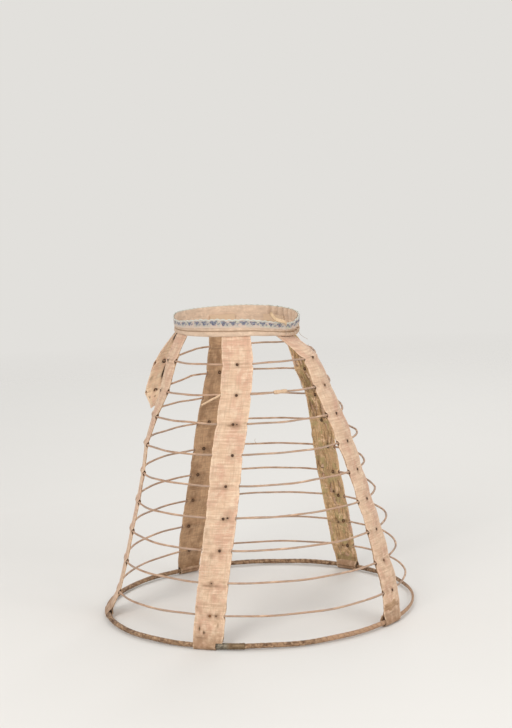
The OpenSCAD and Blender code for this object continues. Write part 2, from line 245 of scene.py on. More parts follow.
# Hand-bent hoops waver a little, and the tapes on them follow
WAVER = [
    (waves(11 + k, (3, 5, 8, 13), 0.45), waves(41 + k, (2, 5, 9, 16), 0.5))
    for k in range(len(HOOPS))
]

# How far the soft waistband has sagged: angle, then at its lower and its upper edge
SAG = np.array([
    (-180, 3, 5), (-120, 0, 0), (-20, 0, 0), (0, 0, 3), (20, 0, 6), (40, 0, 1.5), (60, 0, 0),
    (95, 0, 1), (120, 3.6, 8.5), (135, 8, 14), (150, 9.6, 13), (165, 7, 8), (180, 3, 5),
])


def sag(angle, share):
    """How far the waistband sags at angles, at a share of its height"""
    drop = 0
    for step in (-8, -3, 3, 8):
        a = (np.asarray(angle, float) + step + 180) % 360 - 180
        low, top = (np.interp(a, SAG[:, 0], SAG[:, column]) for column in (1, 2))
        drop = drop + (low + share * (top - low)) / 4
    return drop


# How far the open hoops ride up from the middle of their boxes, by angle from the front
RAISED_AT = (0, 20, 70, 130, 180)
RAISED = ((5.0, 5.0, 4.5, 7.0, 7.0), (3.5, 3.5, 4.5, 6.5, 6.5))
# How far closed hoops have bulged and sunk at the front, by hoop, and over what angle
FRONT_SAG = {2: (6.0, 0.0), 3: (6.0, 0.0), 4: (2.0, 0.0), 7: (2.0, 2.0), 8: (4.0, 4.5)}
FRONT_SAG_HALF = 28
# How far the free ends of the open hoops have bent on towards the front
SPRUNG_ON = (7.0, 9.0)
# The same for their left ends, and between which angles they bend
LEFT_ON = (8.0, 9.5)
LEFT_BEND = (27, 60)


def opened(k, angle, out, x, y, z):
    """The places of an open hoop again, with its ends bent and sprung out of the round"""
    hoop = HOOPS[k]
    turn, fall = math.radians(SPRING_ANGLE), math.radians(SPRING_DROP)
    run = hoop.r * np.radians(angle + SPRING_ANGLE)
    level = run * math.cos(fall)
    leaned = np.clip((angle + SPRING_ANGLE) / (SPRING_ANGLE - RIGHT_END_ANGLE), 0, 1.3)
    free_x = -(hoop.r + out) * math.sin(turn) + level * math.cos(turn)
    free_y = hoop.y - (hoop.r + out) * math.cos(turn) - level * math.sin(turn)
    free_y = free_y - SPRUNG_ON[k] * leaned**1.5
    bent = np.clip((LEFT_BEND[1] - angle) / (LEFT_BEND[1] - LEFT_BEND[0]), 0, 1)
    bent = np.where(angle < 0, 0, bent * bent * (3 - 2 * bent))
    sprung = (angle > -SPRING_ANGLE) & (angle < 0)
    x = np.where(sprung, free_x, x)
    y = np.where(sprung, free_y, y) - LEFT_ON[k] * bent
    return x, y, np.where(sprung, z - run * math.sin(fall), z)


def ring(k, angle, out=0.0):
    """Points on ring k at angles from centre front, moved outwards by out"""
    angle = np.asarray(angle, float)
    if k == WAIST:
        x = (WAIST_HALF[0] + out) * np.sin(np.radians(angle))
        y = WAIST_Y - (WAIST_HALF[1] + out) * np.cos(np.radians(angle))
        return np.stack([x, y, WAIST_Z - sag(angle, 0) + 0 * x], -1)
    hoop = HOOPS[k]
    waver_out, waver_up = WAVER[k]
    even = angle * 180 / hoop.end
    out = out + waver_out(even)
    x, y = hoop.place(angle, out)
    z = hoop.z + waver_up(even) + 0 * x
    if k < OPEN_HOOPS:
        z = z + np.interp(np.abs(angle), RAISED_AT, RAISED[k])
        x, y, z = opened(k, angle, out, x, y, z)
    points = np.stack([x, y, z], -1)
    if k in FRONT_SAG:
        forward, fall = FRONT_SAG[k]
        near = np.exp(-(((angle + 180) % 360 - 180) / FRONT_SAG_HALF) ** 2)
        points = points + near[..., None] * np.array([0, -forward, -fall])
    return points


def ring_radius(k):
    """Radius of ring k, where the waist takes its mean one"""
    return WAIST_MEAN if k == WAIST else HOOPS[k].r


def ring_height(k):
    """Height of ring k, where the waist takes the waistband's lower edge"""
    return WAIST_Z if k == WAIST else HOOPS[k].z


def ripple(x, y, seed):
    """Smooth noise from -1 to 1 at a place on a sheet"""
    return noise.noise(Vector((x, y, seed * 7.31)))


def ripples(x, y, seed):
    """The same for arrays of places"""
    x, y = np.broadcast_arrays(np.asarray(x, float), np.asarray(y, float))
    flat = [ripple(a, b, seed) for a, b in zip(x.ravel(), y.ravel())]
    return np.array(flat).reshape(x.shape)


def unit(rows):
    """Vectors brought to a length of one"""
    return rows / np.linalg.norm(rows, axis=-1)[..., None]


def way_along(line):
    """Distance along a line at each of its points"""
    steps = np.linalg.norm(np.diff(line, axis=0), axis=1)
    return np.concatenate([[0], np.cumsum(steps)])


def smoothed(line, times):
    """A line with its inner points drawn towards their neighbours"""
    line = np.array(line)
    for _ in range(times):
        line[1:-1] = (line[:-2] + 2 * line[1:-1] + line[2:]) / 4
    return line


def new_piece(name, points, faces, slot, material, lay=None, values=None, replaces=()):
    """Mesh piece in metres from points in millimetres. lay is a map in millimetres by corner,
    and values are named shares by point that the finish reads."""
    mesh = bpy.data.meshes.new(name)
    mesh.from_pydata((np.asarray(points) * MM).tolist(), [], faces)
    if lay is not None:
        layer = mesh.uv_layers.new(name="Lay")
        order = np.zeros(len(mesh.loops), int)
        mesh.loops.foreach_get("vertex_index", order)
        spread = lay(order, mesh) if callable(lay) else np.asarray(lay)[order]
        layer.uv.foreach_set("vector", spread.astype(np.float32).ravel())
    for key, shares in (values or {}).items():
        held = mesh.attributes.new(key, "FLOAT", "POINT")
        held.data.foreach_set("value", np.asarray(shares, np.float32).ravel())
    mesh.polygons.foreach_set("use_smooth", [True] * len(mesh.polygons))
    mesh.set_sharp_from_angle(angle=math.radians(60))
    mesh.materials.append(material)
    mesh.validate()
    mesh.update()
    piece = bpy.data.objects.new(name, mesh)
    bpy.context.scene.collection.objects.link(piece)
    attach(piece, BODY)
    if replaces:
        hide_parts(*replaces)
    return piece


def grid_faces(rows, columns, close_rows=False, close_columns=False, capped=False):
    """Quads over a grid of points, and a cap over its first and its last row"""
    faces = []
    for i in range(rows if close_rows else rows - 1):
        for j in range(columns if close_columns else columns - 1):
            a, d = i * columns + j, (i + 1) % rows * columns + j
            step = (j + 1) % columns - j
            faces.append((a, a + step, d + step, d))
    if capped:
        faces.append(tuple(reversed(range(columns))))
        faces.append(tuple(range((rows - 1) * columns, rows * columns)))
    return faces


def grid_lay(columns, girth, along):
    """Map of a grid that closes on itself: the distance round it and along it, with no jump.
    along has one value more than the grid has rows."""
    rows = len(along) - 1

    def lay(order, mesh):
        spread = np.zeros((len(order), 2))
        for face in mesh.polygons:
            part = slice(face.loop_start, face.loop_start + face.loop_total)
            i, j = order[part] // columns, order[part] % columns
            if face.loop_total == 4:
                i = np.where(i < i.max() - 1, i + rows, i)
                j = np.where(j < j.max() - 1, j + columns, j)
            spread[part, 0] = j / columns * girth
            spread[part, 1] = along[np.minimum(i, rows)]
        return spread

    return lay


def sheet_faces(rows, columns, hole=None):
    """Faces of a thick sheet whose points are its seen grid and then its other grid"""
    size = rows * columns
    holes = np.zeros((rows - 1, columns - 1), bool) if hole is None else hole
    faces = []
    for i in range(rows - 1):
        for j in range(columns - 1):
            if holes[i, j]:
                continue
            a, b = i * columns + j, i * columns + j + 1
            c, d = b + columns, a + columns
            faces.append((a, d, c, b))
            faces.append((a + size, b + size, c + size, d + size))
            if i == 0 or holes[i - 1, j]:
                faces.append((a, b, b + size, a + size))
            if i == rows - 2 or holes[i + 1, j]:
                faces.append((d, d + size, c + size, c))
            if j == 0 or holes[i, j - 1]:
                faces.append((a, a + size, d + size, d))
            if j == columns - 2 or holes[i, j + 1]:
                faces.append((b, c, c + size, b + size))
    return faces


def thick_sheet(name, grids, places, slot, material, shares, replaces, hole=None, flip=False):
    """Piece of cloth between its seen and its other grid. places are the distances across and
    down it, which make its map, and shares are what the finish reads."""
    across, down = places
    faces = sheet_faces(*across.shape, hole)
    if flip:
        faces = [tuple(reversed(face)) for face in faces]
    points = np.concatenate([np.reshape(grid, (-1, 3)) for grid in grids])
    lay = np.tile(np.stack([across.ravel(), down.ravel()], -1), (2, 1))
    values = {key: np.tile(np.ravel(share), 2) for key, share in shares.items()}
    return new_piece(name, points, faces, slot, material, lay, values, replaces)


def tube(points, radii, sides, closed=False, up=(0, 0, 1)):
    """Points, faces and map of a tube along a line. radii is by point, or by point and side."""
    points = np.asarray(points, float)
    count = len(points)
    ahead = np.roll(points, -1, 0) - np.roll(points, 1, 0)
    if not closed:
        ahead[0], ahead[-1] = points[1] - points[0], points[-1] - points[-2]
    ahead = unit(ahead)
    across = unit(np.cross(ahead, up))
    over = np.cross(across, ahead)
    around = np.arange(sides) * 2 * math.pi / sides
    if np.ndim(radii) == 1:
        radii = np.asarray(radii)[:, None]
    radii = np.broadcast_to(radii, (count, sides))
    skin = (
        points[:, None]
        + (radii * np.cos(around))[..., None] * across[:, None]
        + (radii * np.sin(around))[..., None] * over[:, None]
    )
    faces = grid_faces(count, sides, close_rows=closed, close_columns=True, capped=not closed)
    girth = 2 * math.pi * float(radii.mean())
    along = way_along(np.concatenate([points, points[:1]]))
    return skin.reshape(-1, 3), faces, grid_lay(sides, girth, along)


def turned(profile, sides, base, axis, seed=0, rough=0.0, hollow=False):
    """Points and faces of a small turned shape on base, with its profile of radius and height"""
    matrix = Vector(axis).normalized().to_track_quat("Z", "Y").to_matrix()
    draw = np.random.RandomState(seed)
    points = []
    for radius, height in profile:
        for j in range(sides):
            a = 2 * math.pi * j / sides
            r = radius * (1 + rough * draw.uniform(-1, 1))
            spot = Vector((r * math.cos(a), r * math.sin(a), height))
            points.append(np.array(base) + np.array(matrix @ spot))
    faces = grid_faces(
        len(profile), sides, close_rows=hollow, close_columns=True, capped=not hollow
    )
    return points, faces


def joined(parts):
    """Several lists of points and faces as one"""
    points, faces = [], []
    for spots, sides in parts:
        start = len(points)
        points.extend(spots)
        faces.extend(tuple(start + i for i in side) for side in sides)
    return np.array(points), faces


def box_of(node):
    """Lower and upper corner of a node's box in millimetres"""
    low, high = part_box(node)
    return low / MM, high / MM


def angle_at(spot, k):
    """Angle from centre front, round the middle of hoop k, of a place"""
    return math.degrees(math.atan2(spot.x, HOOPS[k].y - spot.y))


# Tapes

TAPE_COLUMNS = 23
ROWS_PER_GAP = 26
# How far the tape tops run up behind the waistband
SEAM_LAP = 12
# Share of the way from the second hoop to the third at which the short tape ends
SHORT_END = 0.745
# Pockets: how far a layer stands off the middle of a thin hoop and of the foot hoop, and over
# what height it parts from the other layer
POCKET_OUT = 2.15
POCKET_HALF = 3.4
FOOT_OUT = HOOPS[FOOT].thick / 2 - 0.1
FOOT_HALF = 8.0
# Air on each side of the middle where the layers lie together
LAYER_GAP = 0.1
# How far the hem of the outer layer comes up again inside the foot hoop
HEM_LAP = 10
# How deep the cloth wrinkles, broadly and finely
BROAD_WRINKLE = 0.45
FINE_WRINKLE = 0.28
# How much the edges of a tape wander, slowly and finely
EDGE_DRIFT = 0.7
EDGE_NICKS = 0.35
# How far the left front tape is turned in along the opening
TURNED_IN = 11
# How far the short tape's lower corner is rounded off, and how far its end stands out
CORNER_ROUND = 8
END_LIFT = 2.4
# How far the tops of the tapes are drawn in under the waistband
TOP_IN = 1.3
# Crease in the cloth above each hoop: its depth, its height over the hoop, and half its width
CREASE = 0.8
CREASE_UP = 4.6
CREASE_HALF = 0.9
# Tapes that the hoops draw in more than the others
PINCHED_MORE = {"back_tape_left": 1.6}
# Tapes whose foot is drawn together, how far on each side, and the height that it starts at
NARROW_FOOT = {"side_tape_right": (0, 9), "back_tape_right": (1, 3)}
NARROW_BELOW = 70
# Reach of the rust round a stud
STAIN_HALF = 4.0


class Row:
    """One row across a tape: the ring above it, the share of the way down to the next,
    how far it is raised, and how far round the foot hoop it has turned"""

    def __init__(self, k, share, rise=0.0, turn=None):
        self.k = k
        self.share = share
        self.rise = rise
        self.turn = turn
        self.gap = ring_height(k) - ring_height(k + 1) if k < FOOT else 0
        self.below = share * self.gap
        self.above = (1 - share) * self.gap
        self.z = ring_height(k) - self.below + rise


def short_end(k, last):
    """Whether the gap below ring k is the one in which a short tape ends"""
    return last < FOOT and k == last - 1


def tape_rows(angles, hem):
    """Rows of a tape from the waist down, and for the outer layer round the foot hoop"""
    last = len(angles) - 2
    rows = [Row(WAIST, 0, SEAM_LAP * (1 - i / 5)) for i in range(5)]
    for k in range(WAIST, last):
        end = SHORT_END if short_end(k, last) else 1
        for i in range(ROWS_PER_GAP + (end < 1)):
            even = i / ROWS_PER_GAP
            share = 0.6 * even + 0.2 * (1 - math.cos(math.pi * even))
            rows.append(Row(k, share * end))
    if last == FOOT:
        if hem:
            rows += [Row(FOOT, 0, 0, math.pi * i / 14) for i in range(15)]
            rows += [Row(FOOT, 0, HEM_LAP * i / 5, math.pi) for i in range(1, 6)]
        else:
            rows.append(Row(FOOT, 0, 0.5))
    return rows


def pocket_share(row, last):
    """How far the layers are apart at a row, from 0 to 1: for the thin hoops, and the foot"""
    thin = 0.0
    if row.k >= 0:
        thin += math.exp(-((row.below / POCKET_HALF) ** 2))
    if row.k + 1 <= min(last, FOOT - 1):
        thin += math.exp(-((row.above / POCKET_HALF) ** 2))
    foot = math.exp(-((row.above / FOOT_HALF) ** 2)) if row.k == FOOT - 1 else 0.0
    return thin, (1.0 if row.k == FOOT else foot)


def tape_edges(name, row, drop, drawn, sizes, seed):
    """How far the left and the right edge of a tape lie from its middle at a row. drop is the
    way down from the waist, and drawn is how far the hoops draw the cloth in."""
    pinch = sizes.pinch / MM * drawn * PINCHED_MORE.get(name, 1)
    left, right = (
        sizes.tape_width / MM / 2 - pinch
        + EDGE_DRIFT * ripple(drop * 0.11, place, seed)
        + EDGE_NICKS * ripple(drop * 0.75, place + 18, seed)
        for place in (3, 9)
    )
    if name == "front_tape_left":
        # The edge along the opening is turned in, from the waist to the third hoop
        heights = [HOOPS[3].z, HOOPS[1].z, WAIST_Z]
        left -= TURNED_IN * float(np.interp(row.z, heights, [0, 1, 0.75]))
    if short_end(row.k, len(TAPES[name]) - 2):
        right -= CORNER_ROUND * (row.share / SHORT_END) ** 2
    narrow_left, narrow_right = NARROW_FOOT.get(name, (0, 0))
    low = max(0, 1 - row.z / NARROW_BELOW) ** 1.5
    return left - narrow_left * low, right - narrow_right * low


def tape_points(name, row, t, side, seen, sizes):
    """Points across a row of a tape, at t from -1 at one edge to 1 at the other. side is 1 for
    the outer layer and -1 for the inner one, and seen is 1 for the face that shows and 0 for
    the one against the other layer."""
    angles = TAPES[name]
    last = len(angles) - 2
    seed = sorted(TAPES).index(name) * 3 + side
    cloth = sizes.cloth / MM
    thin, foot = pocket_share(row, last)
    drop = WAIST_Z - row.z + (0 if row.turn is None else 7 * row.turn)
    left, right = tape_edges(name, row, drop, max(thin, foot * 1.2), sizes, seed)
    across = np.where(t < 0, t * left, t * right)
    puffs = PUFFS[name]
    puff = puffs[min(row.k - WAIST, len(puffs) - 1)] * math.sin(math.pi * row.share)
    puff *= 1 + 0.35 * ripple(row.k * 1.7, 5, seed)
    middle = puff * (1 - 0.35 * t * t)
    if row.k == WAIST:
        middle = middle - TOP_IN * (1 - row.share) ** 2
    if short_end(row.k, last):
        middle = middle + END_LIFT * (row.share / SHORT_END) ** 2
    wrinkle = BROAD_WRINKLE * ripples(across * 0.07, drop * 0.09, seed)
    wrinkle += FINE_WRINKLE * ripples(across * 0.1, drop * 0.42, seed + 5)
    crease = 0
    if row.k < FOOT - 1:
        crease = CREASE * math.exp(-(((row.above - CREASE_UP) / CREASE_HALF) ** 2))
    crease = crease * (0.6 + 0.4 * ripples(across * 0.3, row.k, seed))
    gap = POCKET_OUT * thin + FOOT_OUT * foot + LAYER_GAP
    out = middle + side * (gap + seen * cloth) + wrinkle * (1 - foot) - crease * side
    if row.turn is not None:
        around = HOOPS[FOOT].thick / 2 + 0.35 + seen * cloth
        hem = FOOT_OUT * math.exp(-((row.rise / FOOT_HALF) ** 2)) + 1.1 + cloth + seen * cloth
        reach = hem if row.rise else around
        out = reach * math.cos(row.turn) + 0 * t
    upper = ring(row.k, angles[row.k + 1] + np.degrees(across / ring_radius(row.k)), out)
    if row.k == FOOT:
        low = HOOPS[FOOT].z - (1 - seen) * cloth
        fall = low * math.sin(row.turn) if row.turn is not None else 0
        upper[:, 2] = np.maximum(upper[:, 2] + row.rise - fall, (1 - seen) * cloth)
        return upper
    k = row.k + 1
    lower = ring(k, angles[k + 1] + np.degrees(across / ring_radius(k)), out)
    return upper * (1 - row.share) + lower * row.share + np.array([0, 0, row.rise])


# Where the studs of a hoop sit, from the tape's middle: across, and down from the hoop. The
# first has its washer behind, and any other is the mark of an older one.
STUD_SPOTS = {
    "side_tape_left": [
        [(0, 0)], [(1.8, 0)], [(2, 0), (8, 0.5)], [(9, 0)], [(2.8, 0)], [(4, 0), (11, -1)],
        [(5, 0), (-6, 7)], [(-1.5, 0)], [(1, 0), (11, 0)],
    ],
    "back_tape_left": [[(-6, 0)], [(-1, 0)], [(-2, 0)], [(1.5, 0)], [(1, 0)], [(2, 0)], [(1, 0)]],
    "front_tape_right": [[(8, 0)], [(8, 0)]],
    "side_tape_right": [
        [(0, 0)], [(1, 0)], [(0, 0)], [(2, 0)], [(6, 0)], [(11, 0)], [(12, 0)], [(12, 0)], [(4, 0)],
    ],
    "back_tape_right": [
        [(0, 0)], [(-1, 0)], [(0, 0)], [(-4, 0)], [(-10, 0)], [(-12, 0)], [(-12, 0), (-1, -6)],
        [(-12, 0), (0, 4)], [(-12, 0), (-1, 0)],
    ],
}
# Painted shade of folds, painted shadows in slits, and stains, by tape and side: the hoop above,
# place across and down from it, half its size across and down, and its strength
SHADE_AND_STAIN_MARKS = {
    ("side_tape_left", 1): [
        (8, -13.6, 19, 1.8, 4, 2.2), (8, -6, 24, 1.8, 4, 2.2), (8, 13.5, 13.5, 1.6, 4, 1.4),
        (7, -4, 3.7, 14, 1.6, 1.4), (8, -11.5, 32, 9, 1.6, 1.6), (7, -20, 35, 2.4, 2.4, 1.2),
        (5, -19, 22, 3, 6, 0.5), (2, 4, 1.5, 12, 1.6, 1.3), (4, -8, 3, 10, 1.6, 0.8),
    ],
    ("front_tape_right", -1): [
        (WAIST, -5, 26, 5.5, 11, 3), (0, -3, 22, 4.5, 13, 3), (0, 19, 26, 2.5, 3, 1.4),
        (1, 18, 13, 2.5, 2.5, 1.4), (1, 6, 15, 2.5, 2.5, 1.4),
    ],
    ("back_tape_left", 1): [
        (8, -3, 33, 7, 1.5, 1.4), (8, -3, 37.5, 7, 1.5, 1.4), (8, -16, 38, 5, 5, 0.9),
        (7, 20, 2, 3, 2.5, 0.7), (5, 20.5, 2, 3, 2.5, 0.6), (4, 20.5, 1, 3, 2.5, 0.6),
    ],
    ("side_tape_right", -1): [
        (7, 14, 33, 6, 3, 0.8), (7, 8, 31, 3, 2, 0.7), (7, -6, 14, 5, 2, 0.6),
    ],
    ("back_tape_right", -1): [
        (8, 0, 34, 18, 3, 0.6), (0, 2, 14, 9, 8, 0.8), (1, 8, 20, 6, 10, 0.7),
    ],
}
# The corner of the left side tape that has worn away: its inner edge, and height above the hoop
WORN_FROM = 12.0
WORN_UP = 4.6


def stud_spots(name, k):
    """Where the studs of hoop k sit on a tape. One that the table leaves out strays a little."""
    spots = STUD_SPOTS.get(name, [])
    return spots[k] if k < len(spots) else [(1.6 * ripple(k * 2.3, 1.7, len(name)), 0)]


def tape_stains_and_shade(name, side, rows, across, down):
    """How stained a layer is at each point, and how much painted shade its creases take"""
    stain, crease = np.zeros(across.shape), np.zeros(across.shape)
    hoop_at = {}
    for i, row in enumerate(rows):
        if row.share == 0:
            hoop_at.setdefault(row.k, down[i, 0])
    for k in range(min(len(TAPES[name]) - 2, FOOT)):
        below = down - hoop_at[k]
        for x, y in stud_spots(name, k):
            far = np.hypot(across - x, (below - y) * 0.9)
            stain += np.exp(-((far / STAIN_HALF) ** 2))
        # Painted shade along the crease just above each hoop
        uneven = ripples(across * 0.12, k * 3.1, side + 5)
        line = np.exp(-(((below + 1.2 + 0.7 * uneven) / 1.4) ** 2))
        crease += line * np.clip(0.3 + uneven, 0, 1)
    # Painted shade of folds and painted shadows in slits, with some stains, from the table
    for k, x, y, wide, tall, depth in SHADE_AND_STAIN_MARKS.get((name, side), []):
        below = down - hoop_at[k]
        crease += depth * np.exp(-(((across - x) / wide) ** 4) - ((below - y) / tall) ** 2)
    return stain, crease


def tape_layer(name, side, sizes, material, slot):
    """One layer of a tape as a thick sheet, and its length"""
    rows = tape_rows(TAPES[name], hem=side > 0)
    t = np.linspace(-1, 1, TAPE_COLUMNS)
    t = t + 0.12 * np.sin(math.pi * t) / math.pi
    seen, back = (
        np.array([tape_points(name, row, t, side, face, sizes) for row in rows])
        for face in (1, 0)
    )
    along = way_along(seen[:, TAPE_COLUMNS // 2])
    across = np.broadcast_to(t * sizes.tape_width / MM / 2, seen.shape[:2])
    down = np.broadcast_to(along[:, None], across.shape)
    stain, crease = tape_stains_and_shade(name, side, rows, across, down)
    age = np.clip((WAIST_Z - seen[..., 2]) / WAIST_Z, 0, 1)
    lap = np.array([[1.0 if row.k == WAIST and row.rise > 1 else 0.0] for row in rows])
    tears = TEARS.get((name, side))
    piece = thick_sheet(
        f"{name}_outer" if side > 0 else f"{name}_inner",
        (seen, back),
        (across, down),
        slot,
        material,
        {"stain": stain, "crease": crease, "age": age, "lap": lap + 0 * across},
        [name],
        hole=tears(across, down, rows) if tears else None,
        flip=side < 0,
    )
    return piece, float(along[-1])


# The torn lining: between which distances from the waist it is torn most, how strong its
# noise is where it tears, there and elsewhere, and how much less it takes near the edges
TORN_MOST = (60, 190)
TORN_OVER = (0.24, 0.42)
TORN_EDGE = 0.14


def torn_lining(across, down, rows):
    """Quads of the lining that have torn away, in strips that run down the tape"""
    hole = np.zeros((across.shape[0] - 1, across.shape[1] - 1), bool)
    for i in range(hole.shape[0]):
        for j in range(hole.shape[1]):
            x, y = across[i, j], down[i, j]
            strip = ripple(x * 0.16, y * 0.018, 3) + 0.35 * ripple(x * 0.5, y * 0.05, 8)
            wear = TORN_OVER[0] if TORN_MOST[0] < y < TORN_MOST[1] else TORN_OVER[1]
            wear -= TORN_EDGE if abs(x) > 17 else 0
            near = min(abs(rows[i].above), abs(rows[i].below)) if rows[i].gap else 0
            hole[i, j] = strip > wear and near > 4 and 2 < i < hole.shape[0] - 12
    return hole


def worn_corner(across, down, rows):
    """Quads of the corner that has worn away over the sleeve of the foot hoop"""
    hole = np.zeros((across.shape[0] - 1, across.shape[1] - 1), bool)
    for i, row in enumerate(rows[:-1]):
        low = row.k == FOOT or (row.k == FOOT - 1 and row.above < WORN_UP)
        hole[i] = low & (across[i, :-1] > WORN_FROM)
    return hole


# Layers that are not whole, by tape and side
TEARS = {
    ("back_tape_right", -1): torn_lining,
    ("side_tape_left", 1): worn_corner,
    ("side_tape_left", -1): worn_corner,
}


# Finishes


def add_node(tree, kind, inputs=None, out=0, **settings):
    """One output of a new node, whose inputs are values or other nodes' outputs"""
    made = tree.nodes.new(kind)
    for key, value in settings.items():
        setattr(made, key, value)
    for key, value in (inputs or {}).items():
        if isinstance(value, bpy.types.NodeSocket):
            tree.links.new(value, made.inputs[key])
        else:
            made.inputs[key].default_value = value
    return made.outputs[out]


class Finish:
    """A procedural material, whose shade is built up coat by coat on a base"""

    def __init__(self, name, base, roughness, sheen=0.0, gloss=0.5, metallic=0.0):
        self.material = bpy.data.materials.new(name)
        self.material.use_nodes = True
        self.tree = self.material.node_tree
        self.shader = self.tree.nodes["Principled BSDF"]
        self.shader.inputs["Roughness"].default_value = roughness
        self.shader.inputs["Sheen Weight"].default_value = sheen
        self.shader.inputs["Specular IOR Level"].default_value = gloss
        self.shader.inputs["Metallic"].default_value = metallic
        self.lay = self.node("ShaderNodeUVMap", uv_map="Lay")
        self.shade = base

    def node(self, kind, inputs=None, out=0, **settings):
        return add_node(self.tree, kind, inputs, out, **settings)

    def places(self):
        """How far across and how far along the map a place is, in millimetres"""
        across = self.node("ShaderNodeSeparateXYZ", {0: self.lay})
        return across, across.node.outputs[1]

    def scaled(self, x, y, turn=0.0):
        """The map in millimetres, times x across and y along"""
        inputs = {"Vector": self.lay, "Scale": (x, y, 1), "Rotation": (0, 0, turn)}
        return self.node("ShaderNodeMapping", inputs)

    def noise(self, x, y, detail=3.0, roughness=0.55, seed=0.0):
        """Noise with x and y lumps or so in a millimetre across and along the map"""
        inputs = {
            "Vector": self.scaled(x, y),
            "Scale": 1.0,
            "Detail": detail,
            "Roughness": roughness,
            "W": seed,
        }
        return self.node("ShaderNodeTexNoise", inputs, noise_dimensions="4D")

    def grain(self, scale, detail):
        """Noise in the object's own space, with scale lumps in a metre"""
        place = self.node("ShaderNodeTexCoord", out=3)
        inputs = {"Vector": place, "Scale": scale, "Detail": detail}
        return self.node("ShaderNodeTexNoise", inputs)

    def wave(self, x, warp=0.0, turn=0.0):
        """Waves across X, x of them in a millimetre of the map"""
        inputs = {
            "Vector": self.scaled(x, 0.0, turn),
            "Scale": math.pi / 10,
            "Distortion": warp,
            "Detail": 2.0,
            "Detail Scale": 1.5,
        }
        return self.node("ShaderNodeTexWave", inputs, out=1, bands_direction="X")

    def weave(self):
        """Threads of a plain weave"""
        warp = self.wave(0.5 / THREAD_PITCH, 0.3)
        return self.times(warp, self.wave(0.5 / THREAD_PITCH, 0.4, math.pi / 2))

    def math(self, operation, a, b=0.0, c=0.0, clamp=False):
        inputs = {0: a, 1: b, 2: c}
        return self.node("ShaderNodeMath", inputs, operation=operation, use_clamp=clamp)

    def times(self, a, b):
        return self.math("MULTIPLY", a, b)

    def plus(self, a, b):
        return self.math("ADD", a, b)

    def minus(self, a, b):
        return self.math("SUBTRACT", a, b)

    def ranged(self, value, low, high, to_low, to_high):
        """Goes from to_low to to_high as a value goes from low to high"""
        inputs = {0: value, 1: low, 2: high, 3: to_low, 4: to_high}
        return self.node("ShaderNodeMapRange", inputs, clamp=True)

    def above(self, value, low, high, most=1.0):
        """A share that grows from 0 to most as a value goes from low to high"""
        return self.ranged(value, low, high, 0.0, most)

    def below(self, value, low, high, most=1.0):
        """A share that falls from most to 0 as a value goes from low to high"""
        return self.ranged(value, low, high, most, 0.0)

    def mix(self, share, a, b):
        inputs = {0: share}
        for index, tint in ((6, a), (7, b)):
            inputs[index] = tint if isinstance(tint, bpy.types.NodeSocket) else (*tint, 1)
        return self.node("ShaderNodeMix", inputs, out=2, data_type="RGBA")

    def coat(self, share, tint):
        """Lays a tint over the shade so far, by a share"""
        self.shade = self.mix(share, self.shade, tint)

    def value(self, name):
        """One of the shares that a piece holds by point"""
        return self.node("ShaderNodeAttribute", out=2, attribute_name=name)

    def bump(self, height, depth, strength, under=None):
        """Bump of a depth in millimetres, over another one"""
        inputs = {"Strength": strength, "Distance": depth * MM, "Height": height}
        if under is not None:
            inputs["Normal"] = under
        return self.node("ShaderNodeBump", inputs)

    def paint(self, normal=None, roughness=None):
        """The material, with its shade and what else varies over it"""
        ends = {"Base Color": self.shade, "Normal": normal, "Roughness": roughness}
        for socket, value in ends.items():
            if value is not None:
                self.tree.links.new(value, self.shader.inputs[socket])
        return self.material


def darker(shade, share):
    """A colour brought down to a share of its light"""
    return tuple(value * share for value in shade)


# Width of one thread of the cotton and its gap
THREAD_PITCH = 0.55
# Distance from a tape's middle at which the painted highlight along its edges starts, and where
# it is full
EDGE_HIGHLIGHT = (19.8, 22.0)
# Colours of the torn lining's worn places, and of the cotton under the waistband
LINING_OLIVE = srgb(182, 166, 118)
LINING_BLEACHED = srgb(248, 212, 176)
LINING_BROWN = srgb(104, 78, 54)
LAP_TINT = srgb(204, 177, 150)


